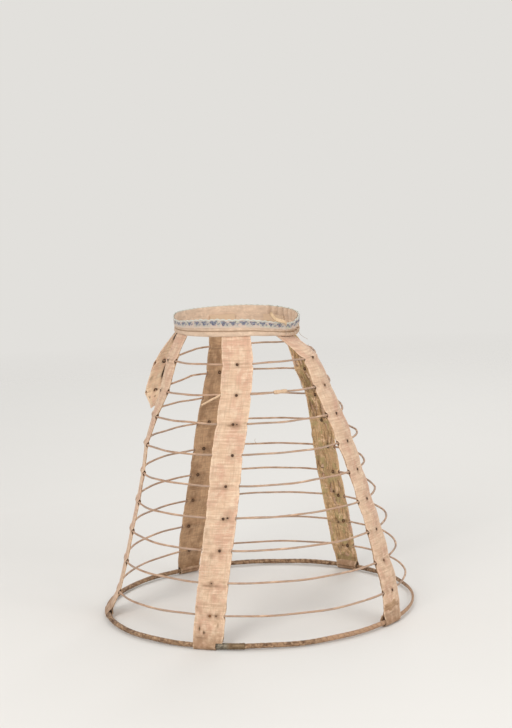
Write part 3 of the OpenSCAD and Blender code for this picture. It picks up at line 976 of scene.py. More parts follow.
def tape_cotton(name, base, patch, pale, soil_and_shade, rust, streaks=0.0):
    """Plain-woven cotton tape: weft ribs, pink and pale patches, rust round the studs, soil,
    painted shade in folds and slits, and a painted highlight along its edges. streaks is how
    strong the runs down an inner layer are, and a torn one also has isles."""
    f = Finish(name, base, roughness=0.92, sheen=0.12, gloss=0.15)
    f.coat(f.above(f.noise(0.035, 0.028, 4.0), 0.45, 0.56), patch)
    f.coat(f.above(f.noise(0.09, 0.06, 5.0, 0.6, 4.0), 0.48, 0.68), pale)
    f.coat(f.above(f.noise(0.22, 0.17, 4.0, 0.6, 14.0), 0.5, 0.68, 0.5), patch)
    # Uneven threads: bars across, lines along, fine ribs and flecks
    bars = f.noise(0.03, 0.36, 3.0, 0.6, 23.0)
    f.coat(f.above(bars, 0.5, 0.62, 0.46), darker(base, 0.6))
    f.coat(f.below(bars, 0.36, 0.46, 0.7), pale)
    f.coat(f.above(f.noise(0.46, 0.03, 3.0, 0.6, 29.0), 0.5, 0.62, 0.34), darker(base, 0.6))
    ribs = f.noise(0.05, 0.75, 3.0, 0.6, 9.0)
    f.coat(f.below(ribs, 0.35, 0.62, 0.24), darker(base, 0.45))
    f.coat(f.above(f.noise(1.1, 1.3, 2.0, 0.6, 2.0), 0.54, 0.72, 0.32), darker(base, 0.5))
    threads = f.weave()
    f.coat(f.below(threads, 0.0, 0.5, 0.18), darker(base, 0.4))
    if streaks:
        run = f.noise(0.42, 0.022, 5.0, 0.7, 6.0)
        f.coat(f.above(run, 0.5, 0.66, streaks), soil_and_shade)
        f.coat(f.below(run, 0.30, 0.44, streaks), pale)
    if streaks > 0.5:
        f.coat(f.above(f.noise(0.06, 0.045, 5.0, 0.7, 31.0), 0.5, 0.57, 0.8), LINING_OLIVE)
        worn = f.noise(0.1, 0.06, 5.0, 0.7, 37.0)
        f.coat(f.above(worn, 0.54, 0.61, 0.85), LINING_BLEACHED)
        f.coat(f.below(worn, 0.36, 0.43, 0.8), LINING_BROWN)
    # Soil towards the foot and along the hem, rust round the studs, then painted shade in the
    # folds, mixed with soil, and a darker painted shadow in the slits
    dirt_and_shade = f.noise(0.12, 0.12, 5.0, 0.65, 12.0)
    age = f.value("age")
    aged = f.ranged(f.math("POWER", age, 3.0), 0.1, 1.0, 0.12, 0.75)
    f.coat(f.times(f.above(dirt_and_shade, 0.4, 0.75), aged), soil_and_shade)
    f.coat(f.times(f.above(age, 0.93, 0.985), f.ranged(dirt_and_shade, 0.3, 0.6, 0.4, 1.0)), soil_and_shade)
    spread = f.times(f.value("stain"), f.ranged(dirt_and_shade, 0.3, 0.7, 0.35, 0.95))
    f.coat(spread, f.mix(0.5, rust, soil_and_shade))
    crease = f.value("crease")
    fold = f.times(crease, f.ranged(dirt_and_shade, 0.35, 0.65, 0.25, 0.9))
    f.coat(fold, f.mix(0.35, soil_and_shade, darker(base, 0.35)))
    # Painted shadow in the slits, where the crease share is highest
    f.coat(f.above(crease, 1.2, 2.0), darker(soil_and_shade, 0.2))
    # Painted highlight: a broken pale line along both edges of each tape
    across, _ = f.places()
    broken = f.ranged(f.noise(0.2, 0.3, 3.0, 0.6, 16.0), 0.42, 0.6, 0.05, 0.4)
    f.coat(f.times(f.above(f.math("ABSOLUTE", across), *EDGE_HIGHLIGHT), broken), pale)
    f.coat(f.value("lap"), LAP_TINT)
    under = f.bump(f.noise(0.25, 0.3, 4.0, 0.6, 3.0), 0.5, 0.6)
    return f.paint(f.bump(f.plus(threads, f.times(ribs, 1.2)), 0.16, 0.8, under))


def band_cotton(name, base, soil_and_shade):
    """Soft cotton of the waistband, with close stitches"""
    f = Finish(name, base, roughness=0.9, sheen=0.12, gloss=0.15)
    f.coat(f.above(f.noise(0.05, 0.2, 5.0, 0.6), 0.4, 0.66), darker(base, 0.78))
    f.coat(f.above(f.noise(0.11, 0.12, 4.0, 0.6, 5.0), 0.52, 0.7, 0.7), srgb(236, 210, 184))
    # The stain share also carries painted shade in the groove above the rolled edge
    f.coat(f.times(f.value("stain"), 0.75), soil_and_shade)
    under = f.bump(f.noise(0.4, 0.6, 4.0, 0.6, 3.0), 0.5, 0.6)
    return f.paint(f.bump(f.weave(), 0.14, 0.7, under))


# Length of one repeat of the ribbon's figure
REPEAT = 15.5
# The ribbon's colours besides its ground and its figure
RIBBON_GREY = srgb(150, 146, 134)
RIBBON_PINK = srgb(210, 184, 168)
RIBBON_GREEN = srgb(200, 198, 168)
FIGURE_BLUE = srgb(104, 118, 146)
FIGURE_PALE = srgb(182, 198, 202)
UPPER_EDGE = srgb(214, 220, 210)
LOWER_EDGE = srgb(216, 190, 170)


def figured_ribbon(name, ground, figure):
    """Ribbon with a sprig of petals in each repeat, a small leaf between, and pale edges"""
    f = Finish(name, ground, roughness=0.7, sheen=0.2)
    across, height = f.places()
    length = f.plus(across, f.times(f.noise(0.05, 0.05, 2.0), 9.0))
    place = f.math("FRACT", f.times(length, 1 / REPEAT))
    bend = f.times(f.minus(f.noise(0.28, 0.3, 3.0, 0.6, 21.0), 0.5), 9.0)
    lean = f.times(f.minus(f.noise(0.3, 0.26, 3.0, 0.6, 27.0), 0.5), 6.0)
    x = f.plus(f.times(f.minus(place, 0.5), REPEAT), bend)
    y = f.plus(height, lean)

    def sprig(middle, level, wide, tall, petals):
        """Share of a flower with lobes round its middle"""
        right = f.times(f.minus(x, middle), 1 / wide)
        up = f.times(f.minus(y, level), 1 / tall)
        far = f.math("SQRT", f.plus(f.times(right, right), f.times(up, up)))
        turn = f.times(f.math("ARCTAN2", up, right), petals)
        lobes = f.math("MULTIPLY_ADD", f.math("SINE", turn), 0.28, 1.0)
        return f.below(f.minus(far, lobes), -0.3, 0.05)

    bloom = sprig(-1.5, 7.6, 5.0, 3.3, 3)
    leaf = sprig(5.2, 6.0, 2.2, 2.0, 2)
    drawn = f.math("MAXIMUM", bloom, f.times(leaf, 0.75), clamp=True)
    drawn = f.times(drawn, f.ranged(f.noise(0.5, 0.6, 4.0, 0.7, 7.0), 0.36, 0.54, 0.15, 1.0))
    f.coat(f.above(f.noise(0.6, 0.8, 3.0, 0.7, 3.0), 0.5, 0.75, 0.7), RIBBON_GREY)
    tint = f.noise(0.09, 0.16, 3.0, 0.5, 8.0)
    f.coat(f.above(tint, 0.5, 0.62, 0.8), RIBBON_PINK)
    f.coat(f.below(tint, 0.34, 0.44, 0.6), RIBBON_GREEN)
    bits = f.noise(0.45, 0.5, 3.0, 0.6, 1.0)
    blue = f.mix(f.above(bits, 0.48, 0.60), figure, FIGURE_BLUE)
    f.coat(drawn, f.mix(f.above(bits, 0.60, 0.68, 0.6), blue, FIGURE_PALE))
    f.coat(f.above(height, 10.8, 12.4, 0.8), UPPER_EDGE)
    f.coat(f.below(height, 0.8, 2.6, 0.7), LOWER_EDGE)
    return f.paint(f.bump(f.plus(f.times(drawn, 1.4), f.wave(1.1, 0.3)), 0.2, 0.8))


# Length along a thin hoop in which the braid repeats, and the way round it in the pattern
BRAID_PITCH = 2.6
BRAID_ROUND = 11.3


def braided_cover(name, base, dark):
    """Thread braided round the wire: crossing ridges, pale worn lengths and dirty ones"""
    f = Finish(name, base, roughness=0.85, sheen=0.1, gloss=0.2)
    across, along = f.places()
    around = f.times(f.times(across, 2 * math.pi / BRAID_ROUND), 3.0)
    run = f.times(along, 2 * math.pi / BRAID_PITCH)
    braid = f.times(f.math("SINE", f.plus(run, around)), f.math("SINE", f.minus(run, around)))
    f.coat(f.above(f.noise(0.15, 0.045, 5.0, 0.65), 0.42, 0.62), dark)
    f.coat(f.above(f.noise(0.2, 0.07, 4.0, 0.6, 5.0), 0.52, 0.7, 0.85), srgb(244, 216, 190))
    f.coat(f.above(f.noise(0.1, 0.03, 3.0, 0.6, 11.0), 0.5, 0.68, 0.5), srgb(206, 174, 160))
    f.coat(f.above(f.noise(0.08, 0.02, 4.0, 0.7, 17.0), 0.47, 0.57, 0.75), srgb(168, 146, 130))
    f.coat(f.below(braid, -1.0, 0.2, 0.4), darker(dark, 0.6))
    fuzz = f.noise(2.0, 1.0, 3.0, 0.6, 3.0)
    return f.paint(f.bump(f.plus(braid, fuzz), 0.3, 0.9))


# Length along the foot hoop of one turn of its strip, and the way round that slants it by one
WRAP_PITCH = 9.0
WRAP_ROUND = 31.4


def foot_wrapping(name, base, dark):
    """Cotton strip wound on a slant, worn through to brown in places"""
    f = Finish(name, base, roughness=0.85, sheen=0.08, gloss=0.2)
    across, along = f.places()
    turns = f.plus(f.times(along, 1 / WRAP_PITCH), f.times(across, 1 / WRAP_ROUND))
    warped = f.plus(turns, f.times(f.noise(0.08, 0.08, 2.0), 0.5))
    seam = f.math("ABSOLUTE", f.minus(f.math("FRACT", warped), 0.5))
    f.coat(f.above(f.noise(0.13, 0.07, 5.0, 0.7), 0.42, 0.6), dark)
    f.coat(f.above(f.noise(0.25, 0.16, 5.0, 0.7, 6.0), 0.5, 0.62, 0.85), srgb(200, 168, 136))
    f.coat(f.times(f.value("rear"), 0.6), srgb(192, 154, 124))
    f.coat(f.above(seam, 0.38, 0.5, 0.5), darker(dark, 0.6))
    fine = f.noise(1.2, 0.8, 3.0, 0.6, 3.0)
    f.coat(f.above(fine, 0.5, 0.75, 0.3), darker(dark, 0.5))
    return f.paint(f.bump(f.plus(f.below(seam, 0.30, 0.5), fine), 0.5, 0.8))


def rusted(name, base):
    """Rusted iron: dark brown with orange and black specks"""
    f = Finish(name, base, roughness=0.75, metallic=0.25)
    grain = f.grain(900.0, 4.0)
    f.coat(f.above(grain, 0.42, 0.62), darker(base, 0.35))
    f.coat(f.above(f.grain(220.0, 3.0), 0.52, 0.68, 0.7), srgb(142, 96, 58))
    return f.paint(f.bump(grain, 0.3, 0.8))


def tarnished(name, base, rust):
    """Grey steel with dents and brown tarnish, browner along its length"""
    f = Finish(name, base, roughness=0.5, metallic=0.6)
    patch = f.noise(0.12, 0.2, 5.0, 0.7)
    fine = f.noise(0.7, 1.6, 4.0, 0.6, 4.0)
    f.coat(f.above(patch, 0.45, 0.6), darker(base, 0.4))
    f.coat(f.above(fine, 0.5, 0.7, 0.6), rust)
    _, along = f.places()
    f.coat(f.above(along, 14, 20, 0.75), f.mix(patch, srgb(150, 122, 84), rust))
    rough = f.ranged(patch, 0.3, 0.7, 0.35, 0.7)
    return f.paint(f.bump(f.plus(patch, fine), 0.3, 0.8), rough)


def spun_thread(name, base):
    """Spun cotton thread: plies on a slant and a little soil"""
    f = Finish(name, base, roughness=0.9, sheen=0.15)
    ply = f.wave(0.5, 0.4, math.pi / 5)
    f.coat(f.above(f.noise(0.5, 0.12, 4.0, 0.6), 0.45, 0.7), darker(base, 0.55))
    f.coat(f.below(ply, 0.0, 0.5, 0.4), darker(base, 0.4))
    return f.paint(f.bump(ply, 0.15, 0.8))


# Operators

# Colours of the layers that differ from the panel's: base, patches, pale places, then soil, which
# also tints the painted shade of folds and slits
OUTER_SOIL_AND_SHADE = srgb(150, 118, 90)
INNER_PATCH = srgb(160, 124, 94)
# The front right tape's inner face: its own pale cotton, raised almost to white as painted light,
# so that it looks lit though it lies in shade
FRONT_INSIDE_BRIGHTENED = (srgb(254, 220, 184), srgb(250, 206, 176), srgb(255, 234, 204))
LINING = (srgb(234, 194, 146), srgb(210, 168, 122), srgb(246, 212, 168), srgb(112, 82, 54))


class CAGE_OT_tapes(bpy.types.Operator):
    """Double cotton tapes, an outer and an inner layer each, with pockets round the hoops"""

    bl_idname = "cage.tapes"
    bl_label = "Tapes"

    def execute(self, context):
        sizes, tints = context.scene.cage_sizes, context.scene.cage_colours
        soil_and_shade, rust = tints.inner_dark, tints.rust
        tape = (tints.tape, tints.tape_pink, tints.tape_pale)
        outer = tape_cotton("outer cotton", *tape, OUTER_SOIL_AND_SHADE, rust)
        inside = (tints.inner, INNER_PATCH, tints.inner_pale)
        inner = tape_cotton("inner cotton", *inside, soil_and_shade, rust, 0.35)
        insides = {
            "back_tape_right": tape_cotton("torn lining", *LINING, rust, 0.9),
            "front_tape_right": tape_cotton("front inner cotton", *FRONT_INSIDE_BRIGHTENED, soil_and_shade, rust, 0.12),
        }
        for name in TAPES:
            for side, slot in ((1, "tape_outer"), (-1, "tape_inner")):
                material = outer if side > 0 else insides.get(name, inner)
                piece, length = tape_layer(name, side, sizes, material, slot)
        return {"FINISHED"}


# How thick the worn cover of a thin hoop is, as a share of the solid hoop, and its lumps
COVER_SHARE = 0.84
COVER_LUMPS = 0.10
COVER_NUBS = 0.06
COVER_RIDGE = 0.05


def hoop_line(k):
    """Line of a thin hoop from its front end round the left to the back, and on to the front"""
    free = k < OPEN_HOOPS
    first, last = (LEFT_END_ANGLE, -RIGHT_END_ANGLE) if free else (0, 0)
    left = np.linspace(first, HOOPS[k].end, 380, endpoint=False)
    right = np.linspace(-HOOPS[k].end, last, 380, endpoint=free)
    return ring(k, np.concatenate([left, right]))


class CAGE_OT_hoops(bpy.types.Operator):
    """Thin hoops of spring steel in a braided cover, the first two open in front"""

    bl_idname = "cage.hoops"
    bl_label = "Hoops"

    def execute(self, context):
        sizes, tints = context.scene.cage_sizes, context.scene.cage_colours
        cover = braided_cover("braided cover", tints.cover, tints.cover_dark)
        sides = 12
        around = 3 * np.arange(sides) * 2 * math.pi / sides
        for k in range(FOOT):
            line = hoop_line(k)
            along = way_along(line)
            swell = COVER_LUMPS * ripples(along * 0.09, 2, k)
            swell += COVER_NUBS * ripples(along * 0.4, 5, k + 3)
            turn = (math.pi * along / BRAID_PITCH)[:, None]
            ridge = COVER_RIDGE * np.sin(turn + around) * np.sin(turn - around)
            radii = sizes.hoop_thickness / MM / 2 * (COVER_SHARE + swell[:, None] + ridge)
            spots, faces, lay = tube(line, radii, sides, closed=k >= OPEN_HOOPS)
            new_piece(
                f"covered_hoop_{k + 1}", spots, faces, "hoop_cover", cover, lay,
                replaces=[f"hoop_{k + 1}"],
            )
        return {"FINISHED"}


# How thick the foot hoop is between the edges of its strip, as a share of the solid hoop
WRAP_SHARE = 0.80
# How far each turn of the strip swells, and how far it laps over the next
WRAP_SWELL = 0.07
WRAP_LAP = 0.03
# Where the foot hoop has lost most of its wrapping: angle, and half the length in degrees
BARE_AT = 168
BARE_HALF = 24
# Where its wrapping is lighter, from this angle to the back
REAR_FROM = 102


class CAGE_OT_foot_hoop(bpy.types.Operator):
    """Thick foot hoop, wound on a slant with a cotton strip"""

    bl_idname = "cage.foot_hoop"
    bl_label = "Foot hoop"

    def execute(self, context):
        sizes, tints = context.scene.cage_sizes, context.scene.cage_colours
        wrap = foot_wrapping("foot wrapping", tints.wrap, tints.wrap_dark)
        count, sides = 1080, 18
        step = np.arange(count)
        angle = step * 360 / count
        turns = round(2 * math.pi * HOOPS[FOOT].r / WRAP_PITCH)
        strip = (step[:, None] / count * turns + np.arange(sides) / sides) % 1
        edge = np.abs(strip - 0.5) * 2
        fold = WRAP_SWELL * (1 - edge**4) + WRAP_LAP * strip
        lumps = ripples(step * 0.12, 1, 5)[:, None]
        bare = np.exp(-(((angle - BARE_AT) / BARE_HALF) ** 2))[:, None]
        rear = np.interp(angle, [REAR_FROM, REAR_FROM + 6, 180, 186], [0, 1, 1, 0])
        thick = (WRAP_SHARE + fold + 0.05 * lumps) * (1 - 0.5 * bare)
        radii = sizes.foot_thickness / MM / 2 * thick
        line = ring(FOOT, np.linspace(0, 360, count, endpoint=False))
        spots, faces, lay = tube(line, radii, sides, closed=True)
        new_piece(
            "wrapped_foot_hoop", spots, faces, "foot_hoop_wrap", wrap, lay,
            values={"rear": np.repeat(rear, sides)}, replaces=["foot_hoop"],
        )
        return {"FINISHED"}


# Waistband

BAND_COLUMNS = 640
GATHER_FROM = 128
GATHERS = 13
GATHER_DEPTH = 2.6
# Outline of the waist tape, up its outside and down its inside: outwards, up, and how dark it is
# painted, which in the groove above the rolled edge is painted shade
BAND_OUTLINE = [
    (0.3, 0.1, 0), (1.0, 0.0, 0), (1.6, 0.8, 0), (2.0, 2.2, 0), (2.1, 3.8, 0),
    (1.9, 5.4, 0), (1.5, 6.8, 0.1), (0.9, 7.6, 1), (0.8, 8.2, 1), (1.2, 8.9, 0.4),
    (1.4, 10.2, 0), (1.3, 12, 0), (1.2, 16, 0), (1.2, 20, 0), (1.1, 24, 0),
    (0.7, 24.9, 0), (0.2, 24.6, 0), (0.0, 20, 0), (0.0, 12, 0), (0.0, 4, 0),
]
# The ribbon: how far its inner face is outside the waistband's inner wall, its thickness, the
# length of its scallops, and the rows across it
RIBBON_OUT = 1.45
RIBBON_THICK = 0.75
SCALLOP = 9.5
RIBBON_ROWS = 12


def gathers(angle):
    """Depth of the gathers at the back of the waistband"""
    a = np.abs(np.where(angle > 180, angle - 360, angle))
    pleat = (1 - np.cos(2 * math.pi * GATHERS * (a - GATHER_FROM) / (180 - GATHER_FROM) / 2)) / 2
    return np.where(a < GATHER_FROM, 0, GATHER_DEPTH * pleat)


def band_ring(angle, out, height):
    """Points round the waistband at a height above its lower edge"""
    points = ring(WAIST, angle, out)
    share = height / BAND_HEIGHT
    points[:, 2] += height + sag(angle, 0) - sag(angle, share)
    return points


def bunched(angle):
    """Where the waistband is crumpled: near the left back tape, and at the front end"""
    back, front = (np.asarray(angle) - 150) / 20, (np.asarray(angle) - 14) / 16
    return np.exp(-(back**2)) + 0.7 * np.exp(-(front**2))


def band_loops(angle, run, folds, crumple):
    """Rings of the waist tape, from the outline, and how dark their points are painted: stains, and
    painted shade in the groove
    """
    loops, stains_and_shade = [], []
    for out, height, dirt_and_shade in BAND_OUTLINE:
        pucker = 0.45 * ripples(run * 0.22, height * 0.25, 3)
        pucker += 1.1 * crumple * ripples(run * 0.16, height * 0.17, 33)
        drift = (0.5 + crumple) * ripples(run * 0.05, 4, 8)
        shown = 1 if out > 0.25 else 0
        loops.append(band_ring(angle, out + folds + pucker * shown, height + drift))
        # Darker where the band is crumpled
        crumple_darkening = 0.25 * crumple * (1 + ripples(run * 0.3, height * 0.3, 9))
        stains_and_shade.append(dirt_and_shade + 0.3 * np.clip(folds / GATHER_DEPTH, 0, 1) + crumple_darkening)
    return loops, stains_and_shade


def ribbon_loops(angle, run, folds, crumple, low, tall):
    """Rings of the ribbon, up its outside and down its inside"""
    scallop = 0.5 * np.sin(2 * math.pi * run / SCALLOP) + 0.9 * ripples(run * 0.07, 0, 14)
    scallop += 1.6 * crumple * ripples(run * 0.14, 2, 15)
    seen, back = [], []
    for i in range(RIBBON_ROWS + 1):
        share = i / RIBBON_ROWS
        ruffle = 0.55 * ripples(run * 0.3, share * 2, 6) * (0.4 + share)
        ruffle += crumple * (0.5 + ripples(run * 0.18, share * 2.8, 36)) * (0.3 + share)
        under = 1.1 * crumple * ripples(run * 0.16, 3 + share * 2, 33)
        out = RIBBON_OUT + folds + ruffle + 0.5 * share**4 + np.clip(under, 0, None)
        height = low + tall * share + scallop * share**2
        seen.append(band_ring(angle, out + RIBBON_THICK, height))
        back.append(band_ring(angle, out, height))
    return seen + back[::-1]


class CAGE_OT_waistband(bpy.types.Operator):
    """Waist tape with its rolled lower edge and gathers, and the figured ribbon on it"""

    bl_idname = "cage.waistband"
    bl_label = "Waistband"

    def execute(self, context):
        tints = context.scene.cage_colours
        cotton = band_cotton("band cotton", tints.band, tints.inner_dark)
        ribbon = figured_ribbon("figured ribbon", tints.ribbon, tints.figure)
        angle = np.linspace(0, 360, BAND_COLUMNS, endpoint=False)
        run = np.radians(angle) * WAIST_MEAN
        around = 2 * math.pi * WAIST_MEAN
        shape = (angle, run, gathers(angle), bunched(angle))

        def closed_band(name, loops, heights, slot, material, node, values=None):
            """Cloth round the waist from rings that go up its outside and down its inside"""
            faces = grid_faces(len(loops), BAND_COLUMNS, close_rows=True, close_columns=True)
            lay = grid_lay(BAND_COLUMNS, around, np.append(heights, heights[0]))
            points = np.reshape(loops, (-1, 3))
            return new_piece(name, points, faces, slot, material, lay, values, [node])

        loops, stains_and_shade = band_loops(*shape)
        heights = [height for _, height, _ in BAND_OUTLINE]
        band = closed_band(
            "waistband_tape", loops, heights, "waist_tape", cotton, "waist_tape",
            {"stain": np.ravel(stains_and_shade)},
        )

        tall = (RIBBON_HIGH.z - RIBBON_LOW.z) / MM
        loops = ribbon_loops(*shape, RIBBON_LOW.z / MM - WAIST_Z, tall)
        levels = np.linspace(0, tall, RIBBON_ROWS + 1)
        strip = closed_band(
            "waistband_ribbon", loops, np.concatenate([levels, levels[::-1]]),
            "figured_ribbon", ribbon, "waist_ribbon",
        )
        return {"FINISHED"}


# How much wider rust has made the studs
RUST_SWELL = 1.14
# Width of a head, and of the mark of an older stud, as shares of the stud's width, and how
# flat the worn ones are
HEAD_SHARE = 0.85
MARK_SHARE = 0.6
FLAT_SHARE = 0.4
# Radius and height of a stud's head and of the washer behind it, in halves of the head's width
# and in millimetres
HEAD = [
    (0.97, -0.5), (1.0, 0.05), (0.95, 0.4), (0.8, 0.7), (0.55, 0.95), (0.25, 1.08), (0.05, 1.1),
]
WASHER = [
    (0.5, -0.35), (0.5, 0.25), (0.62, 0.5), (0.85, 0.6), (1.05, 0.45), (1.12, 0.1), (1.1, -0.35),
]


def rivet(name, k, mark, spot, side, sizes):
    """Points and faces of a stud's head, for side 1, or of its washer. A mark above 0 is the
    small dark rest of an older stud."""
    x, y = spot
    at = 2 * x / (sizes.tape_width / MM)
    face = tape_points(name, Row(k, 0.0), np.array([at - 0.05, at, at + 0.05]), side, 1, sizes)
    facing = side * unit(np.cross(face[2] - face[0], (0, 0, 1)))
    wide, tall = sizes.stud_width / MM / 2 * RUST_SWELL, 1.0
    if mark:
        wide *= MARK_SHARE
    elif side > 0:
        wide *= HEAD_SHARE
    if mark or name.startswith("front") and side > 0:
        tall = FLAT_SHARE
    if (name, k, side) == ("side_tape_left", 7, 1) or name == "front_tape_left" and k > 1:
        wide, tall = wide * 0.5, tall * 0.3
    if name == "front_tape_right" and side < 0:
        wide *= 1.3
    points = [(r * wide, h * tall) for r, h in (HEAD if side > 0 else WASHER)]
    base = face[1] - np.array([0, 0, y]) - facing * 0.25 * mark
    rough = 0.13 if side > 0 else 0.05
    return turned(points, 14, base, facing, k * 7 + side + 2 + mark, rough, hollow=side < 0)


class CAGE_OT_studs(bpy.types.Operator):
    """Rusted stud heads outside the tapes, and the washers behind them"""

    bl_idname = "cage.studs"
    bl_label = "Studs"

    def execute(self, context):
        sizes, tints = context.scene.cage_sizes, context.scene.cage_colours
        iron = rusted("rusted iron", tints.rust)
        for name, angles in TAPES.items():
            shown = -1 if name.endswith("right") else 1
            parts = [
                rivet(name, k, mark, spot, side, sizes)
                for k in range(min(len(angles) - 2, FOOT))
                for mark, spot in enumerate(stud_spots(name, k))
                for side in ((shown,) if mark else (1, -1))
            ]
            points, faces = joined(parts)
            cad = "studs_" + name.replace("_tape", "")
            new_piece(f"{name}_rivets", points, faces, "rusted_studs", iron, replaces=[cad])
        return {"FINISHED"}


# Thread bound round the second hoop: half its length, its turns, and the thread's radius
BINDING_HALF = 10
BINDING_TURNS = 26
BINDING_THREAD = 0.45


def bound_coil(at):
    """Line of the binding wound round the second hoop, thicker in two places, and the way along
    the hoop near its middle"""
    turns = np.linspace(0, 1, BINDING_TURNS * 12)
    line = ring(1, at + math.degrees(BINDING_HALF / HOOPS[1].r) * (2 * turns - 1))
    ahead = unit(np.gradient(line, axis=0))
    across = np.cross(ahead, (0, 0, 1))
    lump = 2.25 + 0.55 * np.abs(np.sin(2 * math.pi * turns)) ** 1.5
    spin = (turns * BINDING_TURNS * 2 * math.pi)[:, None]
    coil = line + lump[:, None] * (np.cos(spin) * across + np.sin(spin) * np.array([0, 0, 1]))
    return coil, ahead[len(line) // 2 - 6]


def broken_strand_line(low, high):
    """Nearly straight line of the strand, from the hoop down and forward to its box's end"""
    start = ring(1, np.array([angle_at(high, 1)]))[0]
    end = np.array([(low.x + high.x) / 2, low.y, low.z + 1.2])
    share = np.linspace(0, 1, 24)[:, None]
    line = start * (1 - share) + end * share
    line[:, 2] += 0.5 * np.sin(math.pi * share[:, 0])
    return line


class CAGE_OT_repairs(bpy.types.Operator):
    """Thread binding of the second hoop, and the strand that has broken away beside it"""

    bl_idname = "cage.repairs"
    bl_label = "Repairs"

    def execute(self, context):
        thread = spun_thread("binding thread", srgb(222, 190, 158))
        low, high = box_of("hoop_2_binding")
        coil, along = bound_coil(angle_at((low + high) / 2, 1))
        spots, faces, lay = tube(coil, BINDING_THREAD, 6, up=along)
        new_piece(
            "bound_join", spots, faces, "binding_thread", thread, lay,
            replaces=["hoop_2_binding"],
        )

        cover = spun_thread("bared strand", srgb(226, 192, 156))
        line = broken_strand_line(*box_of("hoop_2_broken_strand"))
        fade = np.linspace(1, 0, len(line))
        spots, faces, lay = tube(line, 1.25 + 0.4 * fade**0.5, 10)
        new_piece(
            "loose_strand", spots, faces, "hoop_cover", cover, lay,
            replaces=["hoop_2_broken_strand"],
        )
        return {"FINISHED"}


# The sleeve: half the solid one's length, how many such halves it runs past the solid's
# middle, its radius, and the radius of its ends
SLEEVE_HALF = 12
SLEEVE_BEYOND = 1.5
SLEEVE_R = 4.5
SLEEVE_END_R = 4.0


class CAGE_OT_sleeve(bpy.types.Operator):
    """Crimped steel sleeve over the join of the foot hoop"""

    bl_idname = "cage.sleeve"
    bl_label = "Sleeve"

    def execute(self, context):
        tints = context.scene.cage_colours
        steel = tarnished("tarnished steel", tints.steel, tints.rust)
        low, high = box_of("foot_hoop_sleeve")
        beyond = SLEEVE_BEYOND * math.degrees(SLEEVE_HALF / HOOPS[FOOT].r)
        # It starts under the worn corner of the tape
        first = TAPES["side_tape_left"][-1] + math.degrees((WORN_FROM + 0.6) / HOOPS[FOOT].r)
        last = angle_at((low + high) / 2, FOOT) + beyond
        share = np.linspace(0, 1, 60)
        radii = SLEEVE_R + 0.3 * np.sin(share * 9 * math.pi) ** 4 + 0.15 * np.cos(share * 5)
        radii[0] = radii[-1] = SLEEVE_END_R
        spots, faces, lay = tube(ring(FOOT, np.linspace(first, last, 60)), radii, 22)
        new_piece(
            "crimped_sleeve", spots, faces, "sleeve_steel", steel, lay,
            replaces=["foot_hoop_sleeve"],
        )
        return {"FINISHED"}


# Route of the tie: angle, distance outside the waistband, and height above its lower edge
TIE_ROUTE = [
    (133, 3.4, 8), (132.5, 4.6, 12), (131, 5.2, 15), (128.5, 5.0, 16.5), (125.5, 4.6, 18),
    (122.5, 4.4, 19.5), (120, 4.2, 21.5), (118, 4.0, 25), (116.5, 3.8, 29), (115.8, 3.8, 31.5),
]
TIE_WIDTH = 15.0
TIE_HALF_CLOTH = 0.3


class CAGE_OT_tie(bpy.types.Operator):
    """End of the drawstring, a folded strip that lies over the edge of the waistband"""

    bl_idname = "cage.tie"
    bl_label = "Tie"

    def execute(self, context):
        tints = context.scene.cage_colours
        cotton = band_cotton("tie cotton", tints.tie, tints.inner_dark)
        stops = np.array(TIE_ROUTE)
        share = np.linspace(0, len(stops) - 1, 41)
        angle, out, height = (np.interp(share, range(len(stops)), stops[:, i]) for i in range(3))
        line = ring(WAIST, angle, out)
        line[:, 2] += height + sag(angle, 0)
        line = smoothed(line, 3)
        ahead = unit(np.gradient(line, axis=0))
        facing = np.stack([np.sin(np.radians(angle)), -np.cos(np.radians(angle)), 0 * angle], -1)
        over = unit(np.cross(facing, ahead))
        along = way_along(line)
        flat = np.linspace(-0.5, 0.5, 13) * TIE_WIDTH
        # Two folds along the strip bring it to less than half its width
        fold = np.abs((flat / TIE_WIDTH + 0.5) * 3 % 2 - 1)
        spread = (fold - 0.5) * (TIE_WIDTH / 3) * 0.94
        seen, back = [], []
        for i in range(len(line)):
            lift = 0.16 * flat + 0.3 * ripples(flat * 0.3, along[i] * 0.2, 4)
            normal = np.cross(ahead[i], over[i])
            spot = line[i] + spread[:, None] * over[i] - lift[:, None] * normal
            seen.append(spot - TIE_HALF_CLOTH * normal)
            back.append(spot + TIE_HALF_CLOTH * normal)
        down, across = np.meshgrid(along, flat, indexing="ij")
        stain = 0.5 * np.exp(-(((along[-1] - down) / 3) ** 2))
        piece = thick_sheet(
            "drawstring_end", (seen, back), (across, down), "waist_tape", cotton,
            {"stain": stain}, ["waist_tie"],
        )
        return {"FINISHED"}


def hair(start, ahead, length, curl, seed):
    """Line of a loose thread that starts ahead and curls as it hangs"""
    draw = np.random.RandomState(seed)
    way = unit(np.array(ahead, float))
    spin = draw.normal(size=3)
    line = [np.array(start, float)]
    count = 18
    for _ in range(count):
        way = way + curl * np.cross(spin, way) / count + np.array([0, 0, -0.5 / count])
        spin = spin + 0.5 * draw.normal(size=3)
        way = unit(way)
        line.append(line[-1] + way * length / count)
    return smoothed(line, 2)


def thread(line, thick, thin, up):
    """Points and faces of a thread that tapers along a line"""
    spots, faces, _ = tube(line, np.linspace(thick, thin, len(line)), 5, up=up)
    return list(spots), faces


